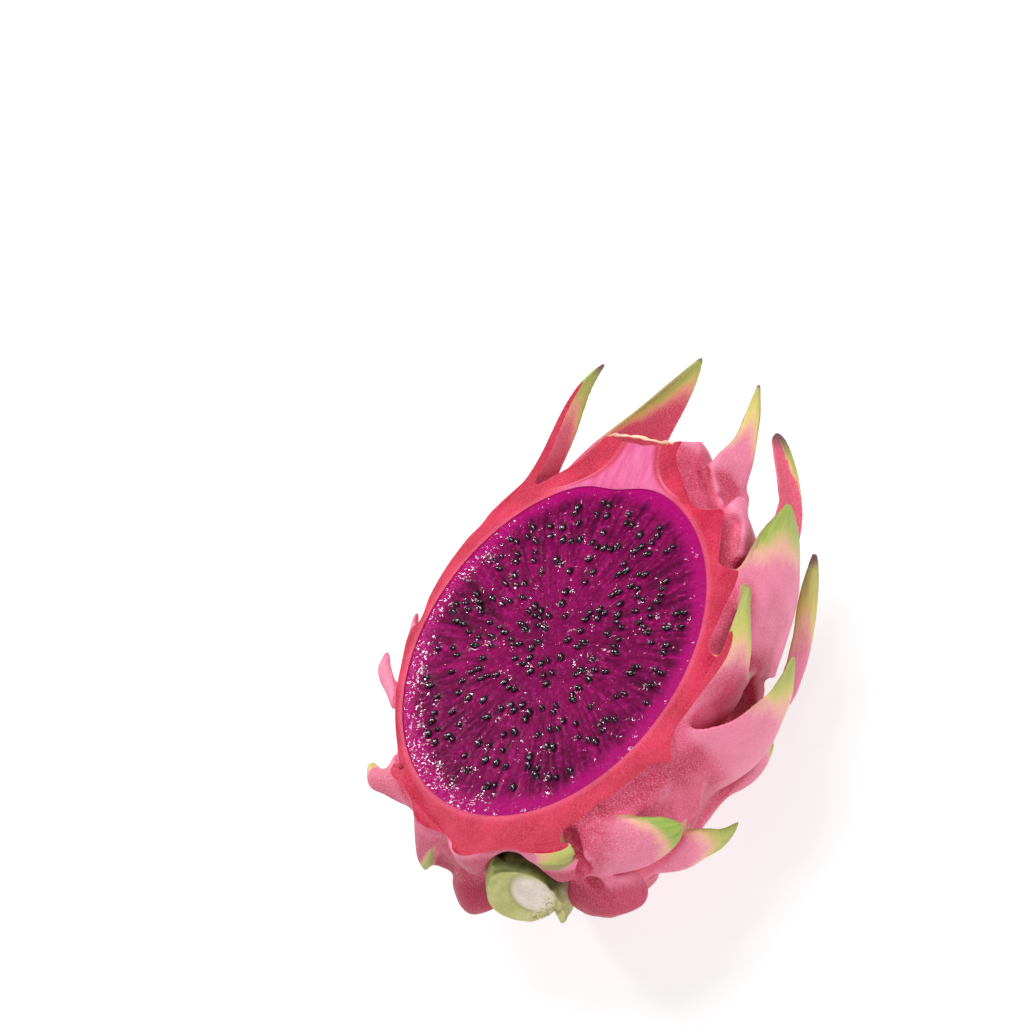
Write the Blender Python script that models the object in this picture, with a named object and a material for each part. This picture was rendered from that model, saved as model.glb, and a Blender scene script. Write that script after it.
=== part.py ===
"""Half of a red-fleshed dragon fruit, lying on its rind with the cut face up.

Sizes are in millimetres and become metres when a mesh is made. +X is the right of the cut face,
+Y the blossom end and +Z up. The origin is the middle of the flat spot that the fruit rests on.
"""

from collections import namedtuple

import bmesh
import bpy
import numpy as np

# Driving dimensions
MM = 0.001
CUT_HEIGHT = 53.0
BODY_CENTRE = np.array([-1.5, 0.0, 44.0])
BODY_HALF_WIDTH = 41.0
BODY_HALF_DEPTH = 45.0
BODY_TILT = 9.0
BODY_YAW = 2.0
BODY_BEND = 4.5
BEND_REACH = 50.0
FLESH_CENTRE = np.array([-1.5, -0.9, 46.0])
FLESH_RADII = np.array([38.6, 46.3, 41.0])
FLESH_DENT = 0.05
FLESH_DENT_WIDTH = 0.2
GAP = 0.3

# Axial place and share of the full radius along the wall, from the stem basin to the blossom crater
WALL_PROFILE = (
    (-52.0, 0.0), (-53.0, 0.12), (-53.5, 0.26), (-51.0, 0.46), (-43.0, 0.67), (-29.0, 0.86),
    (-12.0, 0.98), (4.0, 1.0), (20.0, 0.95), (34.0, 0.80), (44.0, 0.60), (50.0, 0.43),
    (54.0, 0.345), (58.4, 0.325), (58.4, 0.27), (57.0, 0.15), (56.5, 0.0),
)
OUTER_WALL = slice(3, 14)

# How finely the solids are faceted
WALL_AROUND = 60
WALL_STEPS = 2
PATH_STEPS = 8
BRACT_STEPS = 7
BRACT_ACROSS = 4
FLESH_AROUND = 56
FLESH_RINGS = 9

# The swollen base below each bract, and the fold past its lip
BASE_SPREAD = 1.15
BASE_REACH = 18.0
BASE_DEEP = 20.0
LIP_FALL = 3.0
LIP_SWEEP = 0.6
NECK_START = 45.0
NECK_END = 53.0
POLE_FADE = 0.3

# A bract's own make
ROOT_BACK = 5.0
ROOT_SUNK = 2.6
ROOT_THICK = 3.4
ROOT_THICK_SHARE = 0.8
TIP_THICK = 1.1
THICK_TAPER = 0.8
EDGE_THICK = 0.9
ROOT_HANDLE = 0.36
TIP_HANDLE = 0.32
TIP_WIDTH = 0.5
FLARE = 0.5
FLARE_REACH = 0.16
WING_SWEEP = 0.35

def unit(vector):
    return vector / np.linalg.norm(vector)


def smooth_path(corners, steps):
    """A Catmull-Rom curve through the corners, with a number of steps to each span."""
    corners = np.array(corners, float)
    ends = 2 * corners[[0, -1]] - corners[[1, -2]]
    p = np.vstack([ends[:1], corners, ends[1:]])
    share = np.arange(steps)[:, None] / steps
    path = []
    for a, b, c, d in zip(p[:-3], p[1:-2], p[2:-1], p[3:]):
        cubic = -a + 3 * b - 3 * c + d
        square = 2 * a - 5 * b + 4 * c - d
        path.append(0.5 * (2 * b + (c - a) * share + square * share**2 + cubic * share**3))
    path.append(corners[-1:])
    return np.vstack(path)


def body_turn():
    """The turn of the fruit's axis: its blossom end is tipped up, then swung to the left."""
    tilt, yaw = np.radians(BODY_TILT), np.radians(BODY_YAW)
    tip_up = np.array([
        [1, 0, 0], [0, np.cos(tilt), -np.sin(tilt)], [0, np.sin(tilt), np.cos(tilt)],
    ])
    swing = np.array([[np.cos(yaw), -np.sin(yaw), 0], [np.sin(yaw), np.cos(yaw), 0], [0, 0, 1]])
    return swing @ tip_up


BODY_TURN = body_turn()
OUTER_PATH = smooth_path(WALL_PROFILE[OUTER_WALL], PATH_STEPS)


def wall_point(lon, axial, share=None):
    """A point of the bare wall, before the bract bases swell it."""
    if share is None:
        share = np.interp(axial, OUTER_PATH[:, 0], OUTER_PATH[:, 1])
    lon = np.radians(lon)
    x = BODY_HALF_WIDTH * share * np.cos(lon)
    z = -BODY_HALF_DEPTH * share * np.sin(lon)
    x = x + BODY_BEND * (axial / BEND_REACH) ** 2
    local = np.stack(np.broadcast_arrays(x, axial, z), -1)
    return local @ BODY_TURN.T + BODY_CENTRE


Bract = namedtuple("Bract", "lon axial tip half_width rise end_rise taper channel base spread edges")


def bract(
    lon, axial, tip, half_width, rise=25.0, end_rise=None, taper=1.15, channel=0.2, base=5.5,
):
    """A bract seated on the wall at a longitude (0 right, 90 down) and an axial place."""
    end_rise = rise if end_rise is None else end_rise
    tip = np.array(tip, float)
    return Bract(
        lon, axial, tip, half_width, rise, end_rise, taper, channel, base, BASE_SPREAD * half_width, None,
    )


def edged(left, right, arch=0.2, base=3.0):
    """A bract between its two edges, each from root to tip, left and right as seen from outside."""
    left, right = np.array(left, float), np.array(right, float)
    root = (left[0] + right[0]) / 2
    local = (root - BODY_CENTRE) @ BODY_TURN
    off_bend = local[0] - BODY_BEND * (local[1] / BEND_REACH) ** 2
    lon = np.degrees(np.arctan2(-local[2] / BODY_HALF_DEPTH, off_bend / BODY_HALF_WIDTH))
    half_width = np.linalg.norm(right[1] - left[1]) / 2
    return Bract(lon, local[1], left[-1], half_width, 0, 0, 0, -arch, base, half_width, (left, right))


# The bracts round the cut face and the right side, from the blossom end to the stem end
SHOWN_BRACTS = (
    # Left of the neck
    bract(178, 42, (-21, 81.5, 51), 5.5, rise=22, end_rise=12, taper=0.6, base=3),
    # Broad, behind the neck
    bract(141, 46, (4, 86, 48), 12, rise=54, end_rise=30, taper=0.85),
    # Beside the neck
    edged(
        (
            (23, 43.5, 45), (20.5, 46.5, 50), (18.5, 51, 49.5), (20, 56, 49), (22.5, 62, 48),
            (22, 70.5, 47), (21.5, 79.5, 46),
        ),
        (
            (28.5, 41, 40.5), (26.5, 50, 40), (26, 52, 42), (26.5, 57.5, 44), (25.5, 64.5, 45),
            (24.5, 71, 46), (21.5, 79.5, 46),
        ),
        arch=-0.1,
    ),
    # Right of the neck, its inner face in view
    edged(
        (
            (31.5, 21, 25.5), (37.5, 28, 27), (37, 43, 29), (36.5, 53, 31), (34.5, 60.5, 34),
            (31, 66.5, 36.5), (28.5, 69.5, 38), (26, 71, 38),
        ),
        (
            (27, 29, 31), (32, 37, 34), (33.5, 51, 37), (33, 55, 39), (30.5, 60.5, 40),
            (28, 65.5, 40), (26.5, 68.5, 39.5), (26, 71, 38),
        ),
        arch=0.5,
    ),
    # Broad, at the right
    edged(
        (
            (38, 1, 51), (38.3, 8, 53.3), (38, 12, 53.6), (39, 18, 53.2), (40, 24, 51.8),
            (40, 30, 50.5), (40, 36.5, 49), (41.5, 45.5, 46),
        ),
        (
            (36.5, 14, 20), (43, 19.5, 30), (42.5, 28.5, 31), (41.8, 36, 34), (41.8, 40.5, 37.5),
            (41.6, 43.5, 41.5), (41.5, 45.5, 46),
        ),
        arch=0.3, base=5,
    ),
    # Narrow, farthest right
    edged(
        (
            (31, 1, 20), (38, 8, 19), (40.5, 21.5, 22), (41, 29, 25), (42, 34, 28), (43, 38, 30),
            (43.5, 41.5, 31),
        ),
        (
            (34.5, 0, 15), (42.5, 8.5, 16.5), (42.5, 19, 16), (43.5, 25.5, 20), (44, 31.5, 24),
            (44, 37.5, 28), (43.5, 41.5, 31),
        ),
        arch=0.4,
    ),
    # On the cut edge, at the right
    edged(
        (
            (36.5, -22, 54), (41.5, -8.5, 54), (44, 0.5, 53.5), (43, 10, 51.8), (43, 15, 51.4),
            (43, 18.5, 51.2),
        ),
        (
            (34, -14, 38), (38, -4, 34), (41.5, 1, 37), (46.5, 4, 47), (45, 11.5, 49.5),
            (43, 18.5, 51.2),
        ),
        arch=0.2,
    ),
    # Long, with yellow margins
    edged(
        (
            (36, -21.5, 52.5), (38, -19.5, 51.5), (42.5, -17, 49), (48, -12.5, 46.5),
            (50.2, -5.5, 43), (50.2, 1.5, 39), (50, 11.5, 35),
        ),
        (
            (32.5, -24, 27), (35, -12.5, 19), (38, -4, 18), (44, 0, 24), (47, 3, 27),
            (48.5, 6.5, 30), (50, 11.5, 35),
        ),
        arch=0.3, base=5,
    ),
    # Small spur on the cut edge
    edged(
        ((36.5, -20, 52.8), (39.3, -23.5, 53.2), (41.3, -28, 52.6)),
        ((34.5, -26, 52.8), (38, -27.5, 53), (41.3, -28, 52.6)),
        base=0,
    ),
    # Low, at the right
    edged(
        ((31.5, -10, 16.5), (40, -7.5, 22), (40.5, -2.5, 19), (41, -0.5, 17)),
        ((31, -17.5, 15), (37, -12.5, 14), (39.5, -7.5, 14), (41.5, -3, 16), (41, -0.5, 17)),
    ),
    # Leaf at the near right
    edged(
        (
            (23, -44.5, 51), (28, -42.5, 50.2), (34, -40.5, 48.8), (40, -38.5, 47),
            (42.5, -38, 45), (43.5, -38, 43.5),
        ),
        (
            (23, -52.5, 44), (29.5, -51, 42), (36, -48, 41), (40.5, -44, 41), (43, -40.5, 42),
            (43.5, -38, 43.5),
        ),
        arch=0.35,
    ),
    # Below that leaf
    edged(
        (
            (31, -35, 29), (39, -34.5, 33), (41, -32, 30), (43, -30, 27), (44, -27.5, 25),
            (45, -25.5, 24),
        ),
        (
            (27, -42.5, 28.5), (31.5, -43.5, 29), (36.5, -41, 27), (39.5, -36.5, 25),
            (42.5, -33, 24), (44.5, -29, 24), (45, -25.5, 24),
        ),
        arch=0.2,
    ),
    # Lobe right of the stem
    edged(
        (
            (31, -46.5, 36), (33.5, -48.5, 33.5), (33.5, -51.5, 31.5), (31.5, -54, 31),
            (26.5, -57, 31),
        ),
        ((21.5, -51.5, 43), (19, -54, 39.5), (18.5, -56.5, 36), (21.5, -57.5, 33), (26.5, -57, 31)),
        arch=0.3,
    ),
    # Cream triangle over the stem
    edged(
        ((13, -53, 52.5), (18.5, -52.2, 53), (22, -50.8, 53), (24, -49.8, 52.8), (26.2, -52, 52)),
        (
            (14, -53.5, 51), (17, -54.2, 50.7), (20.3, -54.2, 50.6), (23.8, -53.6, 51),
            (26.2, -52, 52),
        ),
        base=1,
    ),
    # Small lobe right of the stem
    edged(
        ((25, -51, 49), (25, -52, 46.5), (23, -53.5, 44.5), (20, -54.5, 43.5)),
        ((17, -52.5, 48), (17.5, -54, 46), (18.5, -54.5, 44), (20, -54.5, 43.5)),
        arch=0.4, base=1,
    ),
    # Lobe left of the stem
    edged(
        ((-3, -52.5, 40), (-3, -55.5, 36), (-4, -58.5, 32), (-7, -60, 30.5), (-10.5, -60, 30)),
        ((-13, -53, 38), (-14.5, -55.5, 35.5), (-14, -58, 33), (-13, -59.5, 31), (-10.5, -60, 30)),
        arch=0.4, base=2,
    ),
    # Lobe over the stem
    edged(
        ((3, -53, 53), (3, -54, 49), (0.5, -55.5, 45.5), (-2.5, -56.5, 44)),
        (
            (-7.5, -53, 52.5), (-7.5, -54.5, 49), (-6.5, -55.5, 46.5), (-4.5, -56.5, 44.5),
            (-2.5, -56.5, 44),
        ),
        arch=0.4, base=1,
    ),
    # Lobe between the last two
    edged(
        ((-7.5, -51, 46), (-9.5, -52, 41), (-11.5, -53.5, 38.5), (-15, -53.5, 38)),
        ((-15, -50, 48), (-18, -52, 44), (-19.5, -53.5, 41), (-18, -53, 39.5), (-15, -53.5, 38)),
        arch=0.1, base=1,
    ),
    # Striped, left of the stem
    edged(
        (
            (-12, -50.5, 52.5), (-15, -53, 48), (-17.5, -54.5, 44), (-19.5, -55, 41),
            (-21, -55.5, 39),
        ),
        (
            (-20, -46, 52), (-20, -49.5, 50), (-20.5, -52.5, 46.5), (-21, -54.5, 43),
            (-21, -55.5, 39),
        ),
        base=1,
    ),
    # Left hook
    edged(
        (
            (-22, -46, 49), (-28, -44.5, 49.5), (-32.5, -43, 50), (-37, -41.5, 50),
            (-39.5, -37, 50.5), (-38, -36, 50.5),
        ),
        (
            (-33, -33.5, 51), (-33, -37.5, 51.5), (-34.5, -38, 51.5), (-36, -37.5, 51),
            (-38, -36, 50.5),
        ),
        base=1,
    ),
    # Left spike
    edged(
        (
            (-39.5, -22, 50.5), (-43.5, -17.5, 50.5), (-46.5, -14.5, 51), (-48.5, -11, 51),
            (-48.5, -6.5, 51),
        ),
        (
            (-40, -16.5, 51), (-43.5, -12.5, 51.5), (-45.5, -10, 51.5), (-47, -8, 51),
            (-48.5, -6.5, 51),
        ),
        base=1,
    ),
    # Low bump at the left
    bract(190, -1, (-45.2, 5.7, 50.4), 3.2, rise=30, end_rise=10, taper=0.9, base=0.5),
)

# The bracts on the side and the underside that the cut face hides: longitude, axial place
HIDDEN_SEATS = (
    (75, 32), (120, 30), (150, 10), (118, 4), (66, 8), (152, -20), (112, -36), (78, -36),
)
HIDDEN_LENGTH = 24.0
HIDDEN_HALF_WIDTH = 12.0
HIDDEN_RISE = 14.0
HIDDEN_END_RISE = 5.0
HIDDEN_BASE = 4.5
LOWEST_TIP = 4.0


Seat = namedtuple("Seat", "point forward side outward")


def seat_of(one):
    """Where a bract leaves the wall, and its own directions there."""
    point = wall_point(one.lon, one.axial)
    around = wall_point(one.lon + 1, one.axial) - wall_point(one.lon - 1, one.axial)
    along = wall_point(one.lon, one.axial + 0.5) - wall_point(one.lon, one.axial - 0.5)
    outward = unit(np.cross(around, along))
    if outward @ (point - BODY_CENTRE) < 0:
        outward = -outward
    reach = one.tip - point
    forward = unit(reach - (reach @ outward) * outward)
    return Seat(point, forward, np.cross(forward, outward), outward)


def hidden_bract(lon, axial):
    """A bract of the hidden side: it points to the blossom end and stays clear of the ground."""
    ahead = wall_point(lon, axial + HIDDEN_LENGTH / 2)
    seat = seat_of(bract(lon, axial, ahead, HIDDEN_HALF_WIDTH))
    rise = np.radians(HIDDEN_RISE)
    tip = seat.point + HIDDEN_LENGTH * (np.cos(rise) * seat.forward + np.sin(rise) * seat.outward)
    tip[2] = max(tip[2], LOWEST_TIP)
    return bract(
        lon, axial, tip, HIDDEN_HALF_WIDTH, rise=HIDDEN_RISE, end_rise=HIDDEN_END_RISE, base=HIDDEN_BASE,
    )


BRACTS = SHOWN_BRACTS + tuple(hidden_bract(lon, axial) for lon, axial in HIDDEN_SEATS)


def swelling(points):
    """Height of the bract bases over the bare wall: each ends in a lip shaped like a chevron."""
    height = np.zeros(len(points))
    for one in BRACTS:
        seat = seat_of(one)
        offset = points - seat.point
        across = np.abs(offset @ seat.side)
        past_lip = offset @ seat.forward + LIP_SWEEP * across
        reach = np.where(past_lip > 0, LIP_FALL, BASE_REACH)
        deep = offset @ seat.outward / BASE_DEEP
        falloff = (past_lip / reach) ** 2 + (across / one.spread) ** 4 + deep**4
        height = np.maximum(height, one.base * np.exp(-falloff))
    axial = (points - BODY_CENTRE) @ BODY_TURN[:, 1]
    return height * np.clip((NECK_END - axial) / (NECK_END - NECK_START), 0, 1)


def new_object(name, vertices, faces):
    """An object whose mesh has these points, in millimetres, with its faces turned outward."""
    mesh = bpy.data.meshes.new(name)
    mesh.from_pydata([tuple(point) for point in np.asarray(vertices) * MM], [], faces)
    work = bmesh.new()
    work.from_mesh(mesh)
    bmesh.ops.triangulate(work, faces=work.faces)
    bmesh.ops.recalc_face_normals(work, faces=work.faces)
    work.to_mesh(mesh)
    work.free()
    thing = bpy.data.objects.new(name, mesh)
    bpy.context.scene.collection.objects.link(thing)
    return thing


def lofted(rings):
    """Points and faces of a skin over equal rings; a ring of one point is a pole."""
    vertices = []
    faces = []
    starts = []
    for ring in rings:
        starts.append(len(vertices))
        vertices.extend(ring)
    count = max(len(ring) for ring in rings)
    for k in range(len(rings) - 1):
        low, high = starts[k], starts[k + 1]
        for i in range(count):
            j = (i + 1) % count
            if len(rings[k]) == 1:
                faces.append((low, high + j, high + i))
            elif len(rings[k + 1]) == 1:
                faces.append((low + i, low + j, high))
            else:
                faces.append((low + i, low + j, high + j, high + i))
    if len(rings[0]) > 1:
        faces.append(tuple(range(starts[0], starts[0] + count))[::-1])
    if len(rings[-1]) > 1:
        faces.append(tuple(range(starts[-1], starts[-1] + count)))
    return vertices, faces


def body():
    """The whole closed fruit before it is cut, with the swollen bract bases."""
    path = smooth_path(WALL_PROFILE, WALL_STEPS)
    lon = np.arange(WALL_AROUND) * 360 / WALL_AROUND
    grid = np.stack([wall_point(lon, axial, share) for axial, share in path])
    around = np.roll(grid, -1, axis=1) - np.roll(grid, 1, axis=1)
    normal = np.cross(np.gradient(grid, axis=0), around)
    normal /= np.linalg.norm(normal, axis=2)[:, :, None] + 1e-9
    axis_share = path[:, 1][:, None, None]
    height = swelling(grid.reshape(-1, 3)).reshape(grid.shape[:2])[:, :, None]
    outward_sign = np.sign(np.sum(normal * (grid - BODY_CENTRE), axis=2).sum())
    grid = grid + outward_sign * normal * height * np.clip(axis_share / POLE_FADE, 0, 1)
    rings = [grid[0, :1]] + list(grid[1:-1]) + [grid[-1, :1]]
    return new_object("rind", *lofted(rings))


def bezier(corners, share):
    a, b, c, d = corners
    rest = 1 - share
    return rest**3 * a + 3 * rest**2 * share * b + 3 * rest * share**2 * c + share**3 * d


def bract_frames(one):
    """A bract's mid-line from root to tip, with its directions, sides, outer normals and half widths."""
    seat = seat_of(one)
    root = seat.point - ROOT_BACK * seat.forward + (one.base - ROOT_SUNK) * seat.outward
    length = np.linalg.norm(one.tip - root)
    start = np.radians(one.rise)
    end = np.radians(one.end_rise)
    leave = np.cos(start) * seat.forward + np.sin(start) * seat.outward
    arrive = np.cos(end) * seat.forward + np.sin(end) * seat.outward
    leaving = root + ROOT_HANDLE * length * leave
    arriving = one.tip - TIP_HANDLE * length * arrive
    corners = (root, leaving, arriving, one.tip)
    share = np.linspace(0, 1, BRACT_STEPS + 1)
    points = np.stack([bezier(corners, s) for s in share])
    ahead = np.stack([bezier(corners, min(s + 0.01, 1)) for s in share])
    behind = np.stack([bezier(corners, max(s - 0.01, 0)) for s in share])
    along = (ahead - behind) / np.linalg.norm(ahead - behind, axis=1)[:, None]
    outer = []
    normal = seat.outward
    for direction in along:
        normal = unit(normal - (normal @ direction) * direction)
        outer.append(normal)
    width = one.half_width * (1 - share) ** one.taper
    width = width * (1 + FLARE * np.exp(-share / FLARE_REACH))
    return points, along, np.cross(along, outer), np.stack(outer), width


def edged_frames(one):
    """The same for a bract that is given by its two edges."""
    share = np.linspace(0, 1, BRACT_STEPS + 1)
    edges = []
    for corners in one.edges:
        path = smooth_path(corners, PATH_STEPS)
        run = np.append(0, np.cumsum(np.linalg.norm(np.diff(path, axis=0), axis=1)))
        places = [np.interp(share * run[-1], run, path[:, axis]) for axis in range(3)]
        edges.append(np.stack(places, -1))
    points = (edges[0] + edges[1]) / 2
    side = edges[1] - edges[0]
    width = np.linalg.norm(side, axis=1) / 2
    side[-1] = side[-2]
    side /= np.linalg.norm(side, axis=1)[:, None]
    outer = np.cross(side, np.gradient(points, axis=0))
    outer /= np.linalg.norm(outer, axis=1)[:, None]
    return points, np.cross(outer, side), side, outer, width


def bract_rings(one):
    """Cross-sections of a bract, thick at its root: an arched leaf, or a channel with swept wings."""
    share = np.linspace(0, 1, BRACT_STEPS + 1)
    points, along, side, outer, width = edged_frames(one) if one.edges else bract_frames(one)
    width = width + TIP_WIDTH
    root_thick = min(ROOT_THICK, ROOT_THICK_SHARE * one.half_width)
    thick = root_thick * (1 - share) ** THICK_TAPER + TIP_THICK * share
    u = np.linspace(-1, 1, BRACT_ACROSS + 1)
    bulge = np.sqrt(np.clip(1 - u**2, 0, 1))
    rings = []
    for k in range(len(share)):
        if one.edges:
            sag = one.channel * width[k] * (1 - u**2)
            swept = 0 * u
        else:
            sag = width[k] ** 2 * u**2 / (2 * BODY_HALF_WIDTH) + one.channel * width[k] * u**2
            swept = WING_SWEEP * width[k] * np.abs(u) * (1 - share[k])
        middle = points[k] + np.outer(u * width[k], side[k])
        middle = middle - np.outer(sag, outer[k]) - np.outer(swept, along[k])
        half = 0.5 * (EDGE_THICK + (thick[k] - EDGE_THICK) * bulge)
        face = middle + np.outer(half, outer[k])
        back = middle - np.outer(half, outer[k])
        rings.append(np.vstack([face, back[::-1]]))
    return rings


# Round-ended bodies between two places, with a radius. Lobes swell the wall beside the neck and
# over the right of the cut face. Valleys are sunk in it at the right, over the near leaf and over
# the stem. Pockets are sunk in wall and bracts alike: beside the neck, in the fold there, at the
# right and round the stem.
LOBES = (
    ((12.5, 55.5, 45.0), (17.5, 49.0, 45.5), 4.2),
    ((31.5, 41.0, 50.5), (34.8, 29.7, 47.5), 2.6),
    ((35.5, 2.0, 49.5), (36.0, 20.0, 49.5), 4.0),
    ((35.0, -21.0, 49.5), (39.2, -3.0, 49.5), 4.9),
)
VALLEYS = (
    ((40.5, -13.5, 46.5), (41.5, -2.0, 35.5), 4.8),
    ((41.0, -33.5, 55.0), (27.5, -50.0, 55.0), 6.5),
    ((22.0, -57.2, 55.0), (9.0, -58.8, 55.0), 5.5),
)
POCKETS = (
    ((18.5, 54.5, 58.5), (25.5, 45.0, 58.5), 9.0),
    ((18.5, 50.5, 50.6), (25.5, 41.0, 51.4), 1.1),
    ((33.5, 35.2, 52.5), (36.0, 25.5, 52.5), 2.5),
    ((9.0, -54.5, 43.3), (10.5, -68.0, 43.3), 8.4),
)
ROUND_AROUND = 12
ROUND_RINGS = 3


def round_ended(start, end, radius):
    """A rod with half-ball ends."""
    start, end = np.array(start), np.array(end)
    axis = unit(end - start)
    side = unit(np.cross(axis, [0, 0, 1]))
    up = np.cross(side, axis)
    angle = np.arange(ROUND_AROUND) * 2 * np.pi / ROUND_AROUND
    circle = radius * (np.outer(np.cos(angle), side) + np.outer(np.sin(angle), up))
    polar = np.linspace(0, np.pi / 2, ROUND_RINGS + 1)
    first = [start - radius * np.cos(turn) * axis + np.sin(turn) * circle for turn in polar[1:]]
    last = [end + radius * np.cos(turn) * axis + np.sin(turn) * circle for turn in polar[:0:-1]]
    poles = [start - radius * axis], [end + radius * axis]
    return new_object("rod", *lofted([poles[0], *first, *last, poles[1]]))


def evaluated_into(thing):
    """Applies the object's modifiers to its mesh."""
    graph = bpy.context.evaluated_depsgraph_get()
    mesh = bpy.data.meshes.new_from_object(thing.evaluated_get(graph))
    thing.modifiers.clear()
    thing.data = mesh


def join_all(target, things):
    """Unites the things with the target in one Boolean, then removes them."""
    group = bpy.data.collections.new(target.name + "_parts")
    bpy.context.scene.collection.children.link(group)
    for thing in things:
        bpy.context.scene.collection.objects.unlink(thing)
        group.objects.link(thing)
    union = target.modifiers.new("union", "BOOLEAN")
    union.operation = "UNION"
    union.operand_type = "COLLECTION"
    union.collection = group
    union.solver = "EXACT"
    evaluated_into(target)
    for thing in things:
        bpy.data.objects.remove(thing)
    bpy.data.collections.remove(group)


def cut_away(target, cutter):
    """Takes the cutter's solid out of the target, then removes the cutter."""
    cutter.hide_render = True
    cutter.display_type = "WIRE"
    cut = target.modifiers.new("cut", "BOOLEAN")
    cut.operation = "DIFFERENCE"
    cut.object = cutter
    cut.solver = "EXACT"
    evaluated_into(target)
    bpy.data.objects.remove(cutter)


def block(name, low, high):
    """A box between two corners."""
    sides = list(zip(low, high))
    corners = [(x, y, z) for x in sides[0] for y in sides[1] for z in sides[2]]
    faces = [(0, 1, 3, 2), (4, 6, 7, 5), (0, 4, 5, 1), (2, 3, 7, 6), (0, 2, 6, 4), (1, 5, 7, 3)]
    return new_object(name, corners, faces)


def flesh_body(name, offset=0.0, above=0.0):
    """The flesh as a bowl-shaped solid, offset outward, with its top level above the cut plane."""
    radii = FLESH_RADII + offset
    top = CUT_HEIGHT + above
    highest = np.arcsin((top - FLESH_CENTRE[2]) / radii[2])
    angle = np.linspace(0, 2 * np.pi, FLESH_AROUND, endpoint=False)
    from_blossom = np.abs(np.angle(np.exp(1j * (angle - np.pi / 2))))
    dent = 1 - FLESH_DENT * np.exp(-((from_blossom / FLESH_DENT_WIDTH) ** 2))
    rings = [[FLESH_CENTRE - (0, 0, radii[2])]]
    for polar in np.linspace(-np.pi / 2, highest, FLESH_RINGS + 1)[1:]:
        ring = np.stack([
            radii[0] * np.cos(polar) * np.cos(angle) * dent,
            radii[1] * np.cos(polar) * np.sin(angle) * dent,
            np.full(FLESH_AROUND, radii[2] * np.sin(polar)),
        ], -1)
        rings.append(ring + FLESH_CENTRE)
    return new_object(name, *lofted(rings))


# Seeds: their number, size, and how they lie in the cut face
SEED_COUNT = 240
SEED_LENGTH = 2.3
SEED_WIDTH = 1.3
SEED_PROUD = 0.55
SEED_SPREAD = 0.87
SEED_CROWDING = 0.52
SEED_SPACING = 1.7
CLUMP_SPACING = 2.7
CLUMP_SIZES = (1, 1, 1, 1, 2, 2, 3, 4)
CLUMP_REACH = (1.7, 2.3)
SEED_STRAY = 0.35
SEED_WIDEST = -0.1
SEED_RANDOM = 11


def seed_places():
    """Where seeds lie in the cut face, alone or in clumps, and where each points: off the middle."""
    draw = np.random.default_rng(SEED_RANDOM)
    radii = FLESH_RADII[:2] * np.cos(np.arcsin((CUT_HEIGHT - FLESH_CENTRE[2]) / FLESH_RADII[2]))
    places = []
    while len(places) < SEED_COUNT:
        heading = draw.uniform(0, 2 * np.pi)
        reach = SEED_SPREAD * draw.random() ** SEED_CROWDING
        spot = reach * radii * [np.cos(heading), np.sin(heading)]
        spacing = CLUMP_SPACING
        for _ in range(draw.choice(CLUMP_SIZES)):
            room = min([np.linalg.norm(spot - other) for other in places], default=CLUMP_SPACING)
            if room < spacing or np.linalg.norm(spot / radii) > SEED_SPREAD:
                break
            places.append(spot)
            spacing = SEED_SPACING
            heading = draw.uniform(0, 2 * np.pi)
            spot = spot + draw.uniform(*CLUMP_REACH) * np.array([np.cos(heading), np.sin(heading)])
    places = np.array(places[:SEED_COUNT])
    heading = np.arctan2(places[:, 1], places[:, 0]) + draw.normal(0, SEED_STRAY, len(places))
    return places + FLESH_CENTRE[:2], heading


def seed(place, heading):
    """One seed, a small drop with four sides, half sunk in the cut face."""
    across = np.array([-np.sin(heading), np.cos(heading), 0])
    along = np.array([np.cos(heading), np.sin(heading), 0])
    middle = np.array([place[0], place[1], CUT_HEIGHT])
    widest = middle + along * SEED_LENGTH * SEED_WIDEST
    up = np.array([0, 0, SEED_PROUD])
    half_width = across * SEED_WIDTH / 2
    ring = [widest + half_width, widest + up, widest - half_width, widest - up]
    inner = [middle - along * SEED_LENGTH / 2]
    outer = [middle + along * SEED_LENGTH / 2]
    return new_object("seed", *lofted((inner, ring, outer)))


# Stem stub: a tough green sleeve round a pale core, cut short
STEM_ROOT = np.array([5.9, -48.3, 39.2])
STEM_END = np.array([8.5, -59.6, 41.0])
STEM_SLEEVE = ((0.0, 4.8), (0.3, 5.9), (0.6, 7.6), (0.9, 8.6), (1.0, 8.0))
STEM_FACE = ((0.97, 5.4), (0.99, 4.4), (0.96, 0.0))
STEM_CLEARANCE = ((1.4, 8.8),)
STEM_AROUND = 20
STEM_OVAL = 0.88
STEM_LOBES = 0.07
STEM_LOBE_COUNT = 3


def stem_body(name, sections, offset=0.0):
    """A turned shape about the stem's axis, a little oval and lobed, grown outward by an offset."""
    axis = unit(STEM_END - STEM_ROOT)
    side = unit(np.cross(axis, [0, 0, 1]))
    up = np.cross(side, axis)
    angle = np.arange(STEM_AROUND) * 2 * np.pi / STEM_AROUND
    rings = [[STEM_ROOT - axis * offset]]
    for share, radius in sections:
        centre = STEM_ROOT + share * (STEM_END - STEM_ROOT) - axis * offset * (share < 0.5)
        if radius == 0:
            rings.append([centre])
            continue
        size = (radius + offset) * (1 + STEM_LOBES * np.cos(STEM_LOBE_COUNT * angle + 1))
        ring = centre + np.outer(size * np.cos(angle), side)
        rings.append(ring + np.outer(size * STEM_OVAL * np.sin(angle), up))
    return new_object(name, *lofted(rings))


# The boxes that cut the fruit reach past it by this much
CUTTER_SIDE = 150.0
CUTTER_DEPTH = 100.0
HOLLOW_ABOVE = 5.0
SHARP_ANGLE = 40.0


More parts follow.
